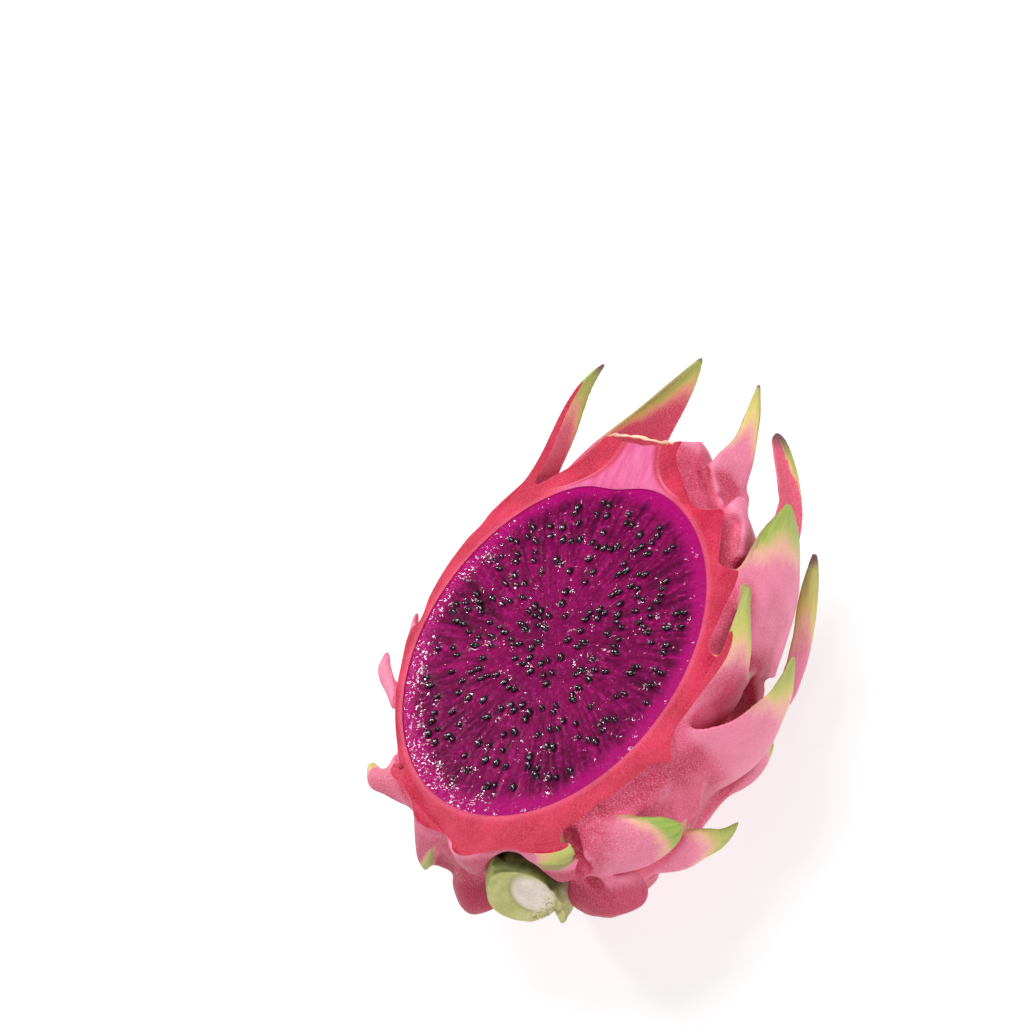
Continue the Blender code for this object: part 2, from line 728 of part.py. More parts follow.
def finish(thing, colour, roughness):
    """Gives a piece its own material and smooth shading with sharp cut edges."""
    material = bpy.data.materials.new(thing.name)
    material.use_nodes = True
    shader = material.node_tree.nodes["Principled BSDF"]
    shader.inputs["Base Color"].default_value = (*colour, 1)
    shader.inputs["Roughness"].default_value = roughness
    shader.inputs["Metallic"].default_value = 0.0
    thing.data.materials.clear()
    thing.data.materials.append(material)
    thing.data.shade_smooth()
    thing.data.set_sharp_from_angle(angle=np.radians(SHARP_ANGLE))


def rind():
    """The peel: one closed bowl with its bracts, neck, flesh hollow and stem socket."""
    peel = body()
    join_all(peel, [round_ended(*lobe) for lobe in LOBES])
    for valley in VALLEYS:
        cut_away(peel, round_ended(*valley))
    join_all(peel, [new_object("bract", *lofted(bract_rings(one))) for one in BRACTS])
    for pocket in POCKETS:
        cut_away(peel, round_ended(*pocket))
    side, top = CUTTER_SIDE, CUT_HEIGHT
    cut_away(peel, block("above", (-side, -side, top), (side, side, top + CUTTER_DEPTH)))
    cut_away(peel, block("below", (-side, -side, -CUTTER_DEPTH), (side, side, 0)))
    cut_away(peel, flesh_body("hollow", above=HOLLOW_ABOVE))
    cut_away(peel, stem_body("socket", STEM_SLEEVE + STEM_CLEARANCE, offset=GAP))
    finish(peel, (0.62, 0.09, 0.19), 0.45)
    return peel


def flesh():
    """The flesh, which fills the rind's hollow, with the seeds that stand out of its cut face."""
    pulp = flesh_body("flesh", offset=-GAP)
    places, headings = seed_places()
    join_all(pulp, [seed(place, heading) for place, heading in zip(places, headings)])
    finish(pulp, (0.25, 0.012, 0.11), 0.25)
    return pulp


def stem():
    """The stub of the stem."""
    stub = stem_body("stem", STEM_SLEEVE + STEM_FACE)
    finish(stub, (0.22, 0.30, 0.10), 0.6)
    return stub


for old in list(bpy.data.objects):
    bpy.data.objects.remove(old)
rind()
flesh()
stem()
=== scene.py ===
"""The looks of half a red-fleshed dragon fruit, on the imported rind, flesh and stem.

Sizes are in millimetres and become metres when a mesh is made. +X is the right of the cut face,
+Y the blossom end and +Z up, with the table at 0.
"""

from collections import namedtuple

import bpy
import numpy as np
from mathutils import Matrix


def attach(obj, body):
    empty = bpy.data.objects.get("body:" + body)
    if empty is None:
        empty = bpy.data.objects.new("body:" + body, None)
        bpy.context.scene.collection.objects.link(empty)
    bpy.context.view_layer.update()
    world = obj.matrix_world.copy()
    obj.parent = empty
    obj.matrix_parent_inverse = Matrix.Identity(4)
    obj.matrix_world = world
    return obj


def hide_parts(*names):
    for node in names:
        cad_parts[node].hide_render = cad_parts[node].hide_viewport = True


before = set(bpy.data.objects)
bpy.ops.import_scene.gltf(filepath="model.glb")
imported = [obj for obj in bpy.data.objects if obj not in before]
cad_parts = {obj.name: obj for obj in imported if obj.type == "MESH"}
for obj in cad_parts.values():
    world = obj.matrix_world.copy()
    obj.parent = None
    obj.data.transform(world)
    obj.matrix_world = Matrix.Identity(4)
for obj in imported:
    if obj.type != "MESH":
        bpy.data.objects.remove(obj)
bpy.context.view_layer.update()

import openvdb
from mathutils import Vector
from mathutils.kdtree import KDTree

# Table, lamps and camera: a pale table under soft daylight, seen as in the photograph.
# One wide lamp hangs over the fruit, and one stands at its right and one in front. A small one
# behind at the left is mirrored in the juice at the near left of the cut face.
MM = 0.001
CAMERA_PLACE = (334.406, -243.158, 488.483)
CAMERA_TURN = (39.086, 26.843, 23.475)
CAMERA_LENS = 90.0
SENSOR_WIDTH = 36.0
TABLE_SIDE = 6000.0
TABLE_GREY = 0.3
TABLE_ROUGHNESS = 0.7
TABLE_GLOW = 0.73
DAYLIGHT = 0.25
DAYLIGHT_TONE = (1.0, 0.99, 0.98, 1.0)
FRUIT_MIDDLE = (0, 0, 30)
CUT_FACE_LEFT = (-30, -20, 50)

camera = bpy.data.objects.new("camera", bpy.data.cameras.new("camera"))
bpy.context.scene.collection.objects.link(camera)
camera.location = Vector(CAMERA_PLACE) * MM
camera.rotation_euler = np.radians(CAMERA_TURN)
camera.data.lens = CAMERA_LENS
camera.data.sensor_width = SENSOR_WIDTH
camera.data.clip_start = 0.01
bpy.context.scene.camera = camera
bpy.context.scene.view_settings.view_transform = "Standard"

world = bpy.data.worlds.new("daylight")
world.use_nodes = True
world.node_tree.nodes["Background"].inputs["Color"].default_value = DAYLIGHT_TONE
world.node_tree.nodes["Background"].inputs["Strength"].default_value = DAYLIGHT
bpy.context.scene.world = world


def add_lamp(name, place, aim, side, power):
    """A square lamp that looks at a point."""
    lamp = bpy.data.objects.new(name, bpy.data.lights.new(name, "AREA"))
    bpy.context.scene.collection.objects.link(lamp)
    lamp.data.size = side * MM
    lamp.data.energy = power
    lamp.location = Vector(place) * MM
    lamp.rotation_euler = (Vector(place) - Vector(aim)).to_track_quat("Z", "Y").to_euler()


add_lamp("lamp_above", (-100, 250, 900), FRUIT_MIDDLE, side=420, power=6.0)
add_lamp("lamp_right", (800, 0, 450), FRUIT_MIDDLE, side=700, power=3.2)
add_lamp("lamp_front", (100, -850, 450), FRUIT_MIDDLE, side=700, power=2.2)
add_lamp("lamp_behind", (-640, 215, 415), CUT_FACE_LEFT, side=110, power=2.6)

table = bpy.data.objects.new("table", bpy.data.meshes.new("table"))
table_half = TABLE_SIDE * MM / 2
table_corners = [(x * table_half, y * table_half, 0) for x, y in ((-1, -1), (1, -1), (1, 1), (-1, 1))]
table.data.from_pydata(table_corners, [], [(0, 1, 2, 3)])
bpy.context.scene.collection.objects.link(table)
table.data.materials.append(bpy.data.materials.new("pale_table"))
table.data.materials[0].use_nodes = True
table_shader = table.data.materials[0].node_tree.nodes["Principled BSDF"]
table_shader.inputs["Base Color"].default_value = (TABLE_GREY, TABLE_GREY, TABLE_GREY, 1)
table_shader.inputs["Roughness"].default_value = TABLE_ROUGHNESS
table_shader.inputs["Emission Color"].default_value = (1, 1, 1, 1)
table_shader.inputs["Emission Strength"].default_value = TABLE_GLOW

# Rind: the leathery peel with its leafy bracts, one grown body. The knife has left a flat coral
# cut edge round the flesh. The wall is turned about the fruit's own axis, each bract grows out of
# a swollen base on it, and all are blended in one distance field so that they join without a seam.
CUT_HEIGHT = 53.0
BODY_CENTRE = np.array([-1.5, 0.0, 44.0])
BODY_HALF_WIDTH = 41.0
BODY_HALF_DEPTH = 45.0
BODY_TILT = 9.0
BODY_YAW = 2.0
BODY_BEND = 4.5
BEND_REACH = 50.0

# The wall's outline: place along the fruit's axis, and share of its half width
WALL_PROFILE = (
    (-52.0, 0.0), (-53.0, 0.12), (-53.5, 0.26), (-51.0, 0.46), (-43.0, 0.67), (-29.0, 0.86),
    (-12.0, 0.98), (4.0, 1.0), (20.0, 0.95), (34.0, 0.80), (44.0, 0.60), (50.0, 0.43),
    (54.0, 0.345), (58.4, 0.325), (58.4, 0.27), (57.0, 0.15), (56.5, 0.0),
)
OUTER_WALL = slice(3, 14)
WALL_AROUND = 360
WALL_STEPS = 8
BRACT_STEPS = 44
BRACT_ACROSS = 18

# The swollen base under each bract, which ends in a lip and dies out on the neck
BASE_SPREAD = 1.15
BASE_REACH = 18.0
BASE_DEEP = 20.0
LIP_FALL = 3.0
LIP_SWEEP = 0.6
NECK_START = 45.0
NECK_END = 53.0
POLE_FADE = 0.3

# A bract's root and tip, its thickness, and how it leaves the wall and flares there
ROOT_BACK = 5.0
ROOT_SUNK = 2.6
ROOT_THICK = 3.4
ROOT_THICK_SHARE = 0.8
TIP_THICK = 1.1
THICK_TAPER = 0.8
EDGE_THICK = 0.9
ROOT_HANDLE = 0.36
TIP_HANDLE = 0.32
TIP_WIDTH = 0.5
FLARE = 0.5
FLARE_REACH = 0.16
WING_SWEEP = 0.35


def unit(vector):
    """The vector at length 1."""
    return vector / np.linalg.norm(vector)


def smooth_path(corners, steps):
    """A Catmull-Rom curve through the corners, with a number of steps to each span."""
    corners = np.array(corners, float)
    ends = 2 * corners[[0, -1]] - corners[[1, -2]]
    p = np.vstack([ends[:1], corners, ends[1:]])
    share = np.arange(steps)[:, None] / steps
    path = []
    for a, b, c, d in zip(p[:-3], p[1:-2], p[2:-1], p[3:]):
        cubic = -a + 3 * b - 3 * c + d
        square = 2 * a - 5 * b + 4 * c - d
        path.append(0.5 * (2 * b + (c - a) * share + square * share**2 + cubic * share**3))
    path.append(corners[-1:])
    return np.vstack(path)


def body_turn():
    """The turn of the fruit's axis: its blossom end is tipped up, then swung to the left."""
    tilt, yaw = np.radians(BODY_TILT), np.radians(BODY_YAW)
    tip_up = np.array([
        [1, 0, 0], [0, np.cos(tilt), -np.sin(tilt)], [0, np.sin(tilt), np.cos(tilt)],
    ])
    swing = np.array([[np.cos(yaw), -np.sin(yaw), 0], [np.sin(yaw), np.cos(yaw), 0], [0, 0, 1]])
    return swing @ tip_up


BODY_TURN = body_turn()
OUTER_PATH = smooth_path(WALL_PROFILE[OUTER_WALL], WALL_STEPS)


def wall_point(lon, axial, share=None):
    """A point of the bare wall, before the bract bases swell it."""
    if share is None:
        share = np.interp(axial, OUTER_PATH[:, 0], OUTER_PATH[:, 1])
    lon = np.radians(lon)
    x = BODY_HALF_WIDTH * share * np.cos(lon)
    z = -BODY_HALF_DEPTH * share * np.sin(lon)
    x = x + BODY_BEND * (axial / BEND_REACH) ** 2
    local = np.stack(np.broadcast_arrays(x, axial, z), -1)
    return local @ BODY_TURN.T + BODY_CENTRE


Bract = namedtuple(
    "Bract",
    "lon axial tip half_width rise end_rise taper channel base spread edges green lean brown hue deep",
)


def bract(
    lon, axial, tip, half_width, rise=25.0, end_rise=None, taper=1.15, channel=0.2, base=5.5,
    green=0.6, lean=0.0, brown=0.96, hue=0.8, deep=0.0,
):
    """A bract seated on the wall at a longitude (0 right, 90 down) and an axial place.

    It turns yellow and green past one share of its length, sooner at the edge it leans to, and
    brown past another. Its hue goes from yellow at 0 to green at 1, and its pink from pale to deep.
    """
    end_rise = rise if end_rise is None else end_rise
    tip = np.array(tip, float)
    return Bract(
        lon, axial, tip, half_width, rise, end_rise, taper, channel, base, BASE_SPREAD * half_width,
        None, green, lean, brown, hue, deep,
    )


def edged(left, right, arch=0.2, base=3.0, green=0.6, lean=0.0, brown=0.96, hue=0.8, deep=0.0):
    """A bract between its two edges, each from root to tip, left and right as seen from outside."""
    left, right = np.array(left, float), np.array(right, float)
    root = (left[0] + right[0]) / 2
    local = (root - BODY_CENTRE) @ BODY_TURN
    off_bend = local[0] - BODY_BEND * (local[1] / BEND_REACH) ** 2
    lon = np.degrees(np.arctan2(-local[2] / BODY_HALF_DEPTH, off_bend / BODY_HALF_WIDTH))
    half_width = np.linalg.norm(right[1] - left[1]) / 2
    return Bract(
        lon, local[1], left[-1], half_width, 0, 0, 0, -arch, base, half_width, (left, right),
        green, lean, brown, hue, deep,
    )


# The bracts round the cut face and the right side, from the blossom end to the stem end
SHOWN_BRACTS = (
    # Left of the neck
    bract(
        178, 42, (-21, 81.5, 51), 5.5, rise=22, end_rise=12, taper=0.6, base=3,
        green=0.58, brown=0.9, hue=0.7,
    ),
    # Broad, behind the neck
    bract(
        141, 46, (4, 86, 48), 12, rise=54, end_rise=30, taper=0.85,
        green=0.72, lean=0.16, brown=0.97, hue=0.6,
    ),
    # Beside the neck
    edged(
        (
            (23, 43.5, 45), (20.5, 46.5, 50), (18.5, 51, 49.5), (20, 56, 49), (22.5, 62, 48),
            (22, 70.5, 47), (21.5, 79.5, 46),
        ),
        (
            (28.5, 41, 40.5), (26.5, 50, 40), (26, 52, 42), (26.5, 57.5, 44), (25.5, 64.5, 45),
            (24.5, 71, 46), (21.5, 79.5, 46),
        ),
        arch=-0.1, green=0.62, brown=0.95, hue=0.4,
    ),
    # Right of the neck, its inner face in view
    edged(
        (
            (31.5, 21, 25.5), (37.5, 28, 27), (37, 43, 29), (36.5, 53, 31), (34.5, 60.5, 34),
            (31, 66.5, 36.5), (28.5, 69.5, 38), (26, 71, 38),
        ),
        (
            (27, 29, 31), (32, 37, 34), (33.5, 51, 37), (33, 55, 39), (30.5, 60.5, 40),
            (28, 65.5, 40), (26.5, 68.5, 39.5), (26, 71, 38),
        ),
        arch=0.5, green=0.95, lean=-0.3, brown=0.86, hue=0.5,
    ),
    # Broad, at the right
    edged(
        (
            (38, 1, 51), (38.3, 8, 53.3), (38, 12, 53.6), (39, 18, 53.2), (40, 24, 51.8),
            (40, 30, 50.5), (40, 36.5, 49), (41.5, 45.5, 46),
        ),
        (
            (36.5, 14, 20), (43, 19.5, 30), (42.5, 28.5, 31), (41.8, 36, 34), (41.8, 40.5, 37.5),
            (41.6, 43.5, 41.5), (41.5, 45.5, 46),
        ),
        arch=0.3, base=5, green=0.66, brown=0.985, hue=0.8,
    ),
    # Narrow, farthest right
    edged(
        (
            (31, 1, 20), (38, 8, 19), (40.5, 21.5, 22), (41, 29, 25), (42, 34, 28), (43, 38, 30),
            (43.5, 41.5, 31),
        ),
        (
            (34.5, 0, 15), (42.5, 8.5, 16.5), (42.5, 19, 16), (43.5, 25.5, 20), (44, 31.5, 24),
            (44, 37.5, 28), (43.5, 41.5, 31),
        ),
        arch=0.4, green=0.58, brown=0.92, hue=0.4,
    ),
    # On the cut edge, at the right
    edged(
        (
            (36.5, -22, 54), (41.5, -8.5, 54), (44, 0.5, 53.5), (43, 10, 51.8), (43, 15, 51.4),
            (43, 18.5, 51.2),
        ),
        (
            (34, -14, 38), (38, -4, 34), (41.5, 1, 37), (46.5, 4, 47), (45, 11.5, 49.5),
            (43, 18.5, 51.2),
        ),
        arch=0.2, green=0.6, brown=1.05, hue=0.6,
    ),
    # Long, with yellow margins
    edged(
        (
            (36, -21.5, 52.5), (38, -19.5, 51.5), (42.5, -17, 49), (48, -12.5, 46.5),
            (50.2, -5.5, 43), (50.2, 1.5, 39), (50, 11.5, 35),
        ),
        (
            (32.5, -24, 27), (35, -12.5, 19), (38, -4, 18), (44, 0, 24), (47, 3, 27),
            (48.5, 6.5, 30), (50, 11.5, 35),
        ),
        arch=0.3, base=5, green=0.66, brown=1, hue=0.6,
    ),
    # Small spur on the cut edge
    edged(
        ((36.5, -20, 52.8), (39.3, -23.5, 53.2), (41.3, -28, 52.6)),
        ((34.5, -26, 52.8), (38, -27.5, 53), (41.3, -28, 52.6)),
        base=0, green=1.3, brown=1.2, deep=0.6,
    ),
    # Low, at the right
    edged(
        ((31.5, -10, 16.5), (40, -7.5, 22), (40.5, -2.5, 19), (41, -0.5, 17)),
        ((31, -17.5, 15), (37, -12.5, 14), (39.5, -7.5, 14), (41.5, -3, 16), (41, -0.5, 17)),
        green=0.7,
    ),
    # Leaf at the near right
    edged(
        (
            (23, -44.5, 51), (28, -42.5, 50.2), (34, -40.5, 48.8), (40, -38.5, 47),
            (42.5, -38, 45), (43.5, -38, 43.5),
        ),
        (
            (23, -52.5, 44), (29.5, -51, 42), (36, -48, 41), (40.5, -44, 41), (43, -40.5, 42),
            (43.5, -38, 43.5),
        ),
        arch=0.25, green=0.66, lean=-0.12, brown=1, hue=0.95,
    ),
    # Below that leaf
    edged(
        (
            (31, -35, 29), (39, -34.5, 33), (41, -32, 30), (43, -30, 27), (44, -27.5, 25),
            (45, -25.5, 24),
        ),
        (
            (27, -42.5, 28.5), (31.5, -43.5, 29), (36.5, -41, 27), (39.5, -36.5, 25),
            (42.5, -33, 24), (44.5, -29, 24), (45, -25.5, 24),
        ),
        arch=0.2, green=0.55, brown=0.93, hue=0.7,
    ),
    # Lobe right of the stem
    edged(
        (
            (31, -46.5, 36), (33.5, -48.5, 33.5), (33.5, -51.5, 31.5), (31.5, -54, 31),
            (26.5, -57, 31),
        ),
        ((21.5, -51.5, 43), (19, -54, 39.5), (18.5, -56.5, 36), (21.5, -57.5, 33), (26.5, -57, 31)),
        arch=0.3, green=0.88, brown=1.1, hue=0.5, deep=0.8,
    ),
    # Cream triangle over the stem
    edged(
        ((13, -53, 52.5), (18.5, -52.2, 53), (22, -50.8, 53), (24, -49.8, 52.8), (26.2, -52, 52)),
        (
            (14, -53.5, 51), (17, -54.2, 50.7), (20.3, -54.2, 50.6), (23.8, -53.6, 51),
            (26.2, -52, 52),
        ),
        base=1, green=0.15, brown=1.1, hue=0.55,
    ),
    # Small lobe right of the stem
    edged(
        ((25, -51, 49), (25, -52, 46.5), (23, -53.5, 44.5), (20, -54.5, 43.5)),
        ((17, -52.5, 48), (17.5, -54, 46), (18.5, -54.5, 44), (20, -54.5, 43.5)),
        arch=0.4, base=1, green=1.3, brown=1.2, deep=0.8,
    ),
    # Lobe left of the stem
    edged(
        ((-3, -52.5, 40), (-3, -55.5, 36), (-4, -58.5, 32), (-7, -60, 30.5), (-10.5, -60, 30)),
        ((-13, -53, 38), (-14.5, -55.5, 35.5), (-14, -58, 33), (-13, -59.5, 31), (-10.5, -60, 30)),
        arch=0.4, base=2, green=1.3, brown=0.75, deep=1,
    ),
    # Lobe over the stem
    edged(
        ((3, -53, 53), (3, -54, 49), (0.5, -55.5, 45.5), (-2.5, -56.5, 44)),
        (
            (-7.5, -53, 52.5), (-7.5, -54.5, 49), (-6.5, -55.5, 46.5), (-4.5, -56.5, 44.5),
            (-2.5, -56.5, 44),
        ),
        arch=0.4, base=1, green=1.3, brown=1.2, deep=0.7,
    ),
    # Lobe between the last two
    edged(
        ((-7.5, -51, 46), (-9.5, -52, 41), (-11.5, -53.5, 38.5), (-15, -53.5, 38)),
        ((-15, -50, 48), (-18, -52, 44), (-19.5, -53.5, 41), (-18, -53, 39.5), (-15, -53.5, 38)),
        arch=0.1, base=1, green=1.3, brown=1.2, deep=1,
    ),
    # Striped, left of the stem
    edged(
        (
            (-12, -50.5, 52.5), (-15, -53, 48), (-17.5, -54.5, 44), (-19.5, -55, 41),
            (-21, -55.5, 39),
        ),
        (
            (-20, -46, 52), (-20, -49.5, 50), (-20.5, -52.5, 46.5), (-21, -54.5, 43),
            (-21, -55.5, 39),
        ),
        base=1, green=0.75, lean=-0.25, brown=1.1, hue=0.6, deep=0.5,
    ),
    # Left hook
    edged(
        (
            (-22, -46, 49), (-28, -44.5, 49.5), (-32.5, -43, 50), (-37, -41.5, 50),
            (-39.5, -37, 50.5), (-38, -36, 50.5),
        ),
        (
            (-33, -33.5, 51), (-33, -37.5, 51.5), (-34.5, -38, 51.5), (-36, -37.5, 51),
            (-38, -36, 50.5),
        ),
        base=1, green=0.8, brown=1, hue=0.6, deep=0.3,
    ),
    # Left spike
    edged(
        (
            (-39.5, -22, 50.5), (-43.5, -17.5, 50.5), (-46.5, -14.5, 51), (-48.5, -11, 51),
            (-48.5, -6.5, 51),
        ),
        (
            (-40, -16.5, 51), (-43.5, -12.5, 51.5), (-45.5, -10, 51.5), (-47, -8, 51),
            (-48.5, -6.5, 51),
        ),
        base=1, green=1.3, brown=1.2,
    ),
    # Low bump at the left
    bract(
        190, -1, (-45.2, 5.7, 50.4), 3.2, rise=30, end_rise=10, taper=0.9, base=0.5,
        green=1.3, brown=1.2,
    ),
)

# The bracts on the side and the underside that the cut face hides: longitude, axial place
HIDDEN_SEATS = (
    (75, 32), (120, 30), (150, 10), (118, 4), (66, 8), (152, -20), (112, -36), (78, -36),
)
HIDDEN_LENGTH = 24.0
HIDDEN_HALF_WIDTH = 12.0
HIDDEN_RISE = 14.0
HIDDEN_END_RISE = 5.0
HIDDEN_BASE = 4.5
LOWEST_TIP = 4.0

Seat = namedtuple("Seat", "point forward side outward")


def seat_of(one):
    """Where a bract leaves the wall, and its own directions there."""
    point = wall_point(one.lon, one.axial)
    around = wall_point(one.lon + 1, one.axial) - wall_point(one.lon - 1, one.axial)
    along = wall_point(one.lon, one.axial + 0.5) - wall_point(one.lon, one.axial - 0.5)
    outward = unit(np.cross(around, along))
    if outward @ (point - BODY_CENTRE) < 0:
        outward = -outward
    reach = one.tip - point
    forward = unit(reach - (reach @ outward) * outward)
    return Seat(point, forward, np.cross(forward, outward), outward)


def hidden_bract(lon, axial):
    """A bract of the hidden side: it points to the blossom end and stays clear of the ground."""
    ahead = wall_point(lon, axial + HIDDEN_LENGTH / 2)
    seat = seat_of(bract(lon, axial, ahead, HIDDEN_HALF_WIDTH))
    rise = np.radians(HIDDEN_RISE)
    tip = seat.point + HIDDEN_LENGTH * (np.cos(rise) * seat.forward + np.sin(rise) * seat.outward)
    tip[2] = max(tip[2], LOWEST_TIP)
    return bract(
        lon, axial, tip, HIDDEN_HALF_WIDTH,
        rise=HIDDEN_RISE, end_rise=HIDDEN_END_RISE, base=HIDDEN_BASE,
    )


BRACTS = SHOWN_BRACTS + tuple(hidden_bract(lon, axial) for lon, axial in HIDDEN_SEATS)


def swelling(points):
    """Height of the bract bases over the bare wall: each ends in a lip shaped like a chevron."""
    height = np.zeros(len(points))
    for one in BRACTS:
        seat = seat_of(one)
        offset = points - seat.point
        across = np.abs(offset @ seat.side)
        past_lip = offset @ seat.forward + LIP_SWEEP * across
        reach = np.where(past_lip > 0, LIP_FALL, BASE_REACH)
        deep = offset @ seat.outward / BASE_DEEP
        falloff = (past_lip / reach) ** 2 + (across / one.spread) ** 4 + deep**4
        height = np.maximum(height, one.base * np.exp(-falloff))
    axial = (points - BODY_CENTRE) @ BODY_TURN[:, 1]
    return height * np.clip((NECK_END - axial) / (NECK_END - NECK_START), 0, 1)


def closed_skin(rings):
    """Points and triangles of a skin over equal rings, closed by a middle point at each end."""
    rings = np.asarray(rings, float)
    count, around = rings.shape[:2]
    points = np.vstack([rings.reshape(-1, 3), rings[0].mean(0)[None], rings[-1].mean(0)[None]])
    i = np.arange(around)
    j = (i + 1) % around
    start = np.arange(count - 1)[:, None] * around
    low_i, low_j = (start + i).ravel(), (start + j).ravel()
    sides = [(low_i, low_j, low_j + around), (low_i, low_j + around, low_i + around)]
    first, last = np.full(around, len(points) - 2), np.full(around, len(points) - 1)
    end = (count - 1) * around
    fans = [(j, i, first), (end + i, end + j, last)]
    return points, np.vstack([np.stack(three, -1) for three in sides + fans])


def body_skin():
    """The whole fruit before it is cut, with the swollen bract bases."""
    path = smooth_path(WALL_PROFILE, WALL_STEPS)
    lon = np.arange(WALL_AROUND) * 360 / WALL_AROUND
    grid = np.stack([wall_point(lon, axial, share) for axial, share in path])
    around = np.roll(grid, -1, axis=1) - np.roll(grid, 1, axis=1)
    normal = np.cross(np.gradient(grid, axis=0), around)
    normal /= np.linalg.norm(normal, axis=2)[:, :, None] + 1e-9
    axis_share = path[:, 1][:, None, None]
    height = swelling(grid.reshape(-1, 3)).reshape(grid.shape[:2])[:, :, None]
    outward_sign = np.sign(np.sum(normal * (grid - BODY_CENTRE), axis=2).sum())
    grid = grid + outward_sign * normal * height * np.clip(axis_share / POLE_FADE, 0, 1)
    return closed_skin(grid[1:-1])


def bezier(corners, share):
    """The point at one share of a Bezier curve."""
    a, b, c, d = corners
    rest = 1 - share
    return rest**3 * a + 3 * rest**2 * share * b + 3 * rest * share**2 * c + share**3 * d


def bract_frames(one):
    """A bract's mid-line from root to tip, its directions, sides, outer normals and half widths."""
    seat = seat_of(one)
    root = seat.point - ROOT_BACK * seat.forward + (one.base - ROOT_SUNK) * seat.outward
    length = np.linalg.norm(one.tip - root)
    start = np.radians(one.rise)
    end = np.radians(one.end_rise)
    leave = np.cos(start) * seat.forward + np.sin(start) * seat.outward
    arrive = np.cos(end) * seat.forward + np.sin(end) * seat.outward
    leaving = root + ROOT_HANDLE * length * leave
    arriving = one.tip - TIP_HANDLE * length * arrive
    corners = (root, leaving, arriving, one.tip)
    share = np.linspace(0, 1, BRACT_STEPS + 1)
    points = np.stack([bezier(corners, s) for s in share])
    ahead = np.stack([bezier(corners, min(s + 0.01, 1)) for s in share])
    behind = np.stack([bezier(corners, max(s - 0.01, 0)) for s in share])
    along = (ahead - behind) / np.linalg.norm(ahead - behind, axis=1)[:, None]
    outer = []
    normal = seat.outward
    for direction in along:
        normal = unit(normal - (normal @ direction) * direction)
        outer.append(normal)
    width = one.half_width * (1 - share) ** one.taper
    width = width * (1 + FLARE * np.exp(-share / FLARE_REACH))
    return points, along, np.cross(along, outer), np.stack(outer), width


def edged_frames(one):
    """The same for a bract that is given by its two edges."""
    share = np.linspace(0, 1, BRACT_STEPS + 1)
    edges = []
    for corners in one.edges:
        path = smooth_path(corners, 12)
        run = np.append(0, np.cumsum(np.linalg.norm(np.diff(path, axis=0), axis=1)))
        edge = [np.interp(share * run[-1], run, path[:, axis]) for axis in range(3)]
        edges.append(np.stack(edge, -1))
    points = (edges[0] + edges[1]) / 2
    side = edges[1] - edges[0]
    width = np.linalg.norm(side, axis=1) / 2
    side[-1] = side[-2]
    side /= np.linalg.norm(side, axis=1)[:, None]
    along = np.gradient(points, axis=0)
    outer = np.cross(side, along)
    outer /= np.linalg.norm(outer, axis=1)[:, None]
    return points, np.cross(outer, side), side, outer, width


Blade = namedtuple("Blade", "rings middles outer share across")


def bract_blade(one, ripple_from):
    """A bract's cross-sections, its middle surface and where each point of that lies on it."""
    share = np.linspace(0, 1, BRACT_STEPS + 1)
    points, along, side, outer, width = edged_frames(one) if one.edges else bract_frames(one)
    width = width + TIP_WIDTH
    root_thick = min(ROOT_THICK, ROOT_THICK_SHARE * one.half_width)
    thick = root_thick * (1 - share) ** THICK_TAPER + TIP_THICK * share
    u = np.linspace(-1, 1, BRACT_ACROSS + 1)
    bulge = np.sqrt(np.clip(1 - u**2, 0, 1))
    rings = []
    middles = []
    for k in range(len(share)):
        if one.edges:
            sag = one.channel * width[k] * (1 - u**2)
            swept = 0 * u
        else:
            sag = width[k] ** 2 * u**2 / (2 * BODY_HALF_WIDTH) + one.channel * width[k] * u**2
            wave = RIPPLE * u * np.abs(u) * np.sin(RIPPLE_TURNS * share[k] + ripple_from)
            sag = sag + wave * min(width[k] / one.half_width, 1)
            swept = WING_SWEEP * width[k] * np.abs(u) * (1 - share[k])
        middle = points[k] + np.outer(u * width[k], side[k])
        middle = middle - np.outer(sag, outer[k]) - np.outer(swept, along[k])
        half = np.outer(0.5 * (EDGE_THICK + (thick[k] - EDGE_THICK) * bulge), outer[k])
        rings.append(np.vstack([middle + half, (middle - half)[::-1]]))
        middles.append(middle)
    shape = (len(share), len(u))
    return Blade(
        np.stack(rings), np.stack(middles), np.broadcast_to(outer[:, None], shape + (3,)),
        np.broadcast_to(share[:, None], shape), np.broadcast_to(u, shape),
    )


# The distance field: its cell, its reach on each side of a skin, how softly skins join, and the
# lumps, creases and ripples
CELL = 0.4
BAND_CELLS = 7
BAND = CELL * BAND_CELLS
FIELD_LOW = np.array([-57.0, -68.0, -6.0])
FIELD_HIGH = np.array([57.0, 93.0, 58.0])
ROOT_BLEND = 2.2
LOBE_BLEND = 2.5
POCKET_BLEND = 1.2
LUMP_SIZE = 11.0
LUMP_HEIGHT = 0.45
LUMP_RANDOM = 3
CREASE_SIZE = 12.0
CREASE_WIDTH = 0.07
CREASE_DEPTH = 0.6
CREASE_RANDOM = 9
RIPPLE = 1.1
RIPPLE_TURNS = 7.0
RIPPLE_SHIFT = 1.7
MOST_TRIANGLES = 185000

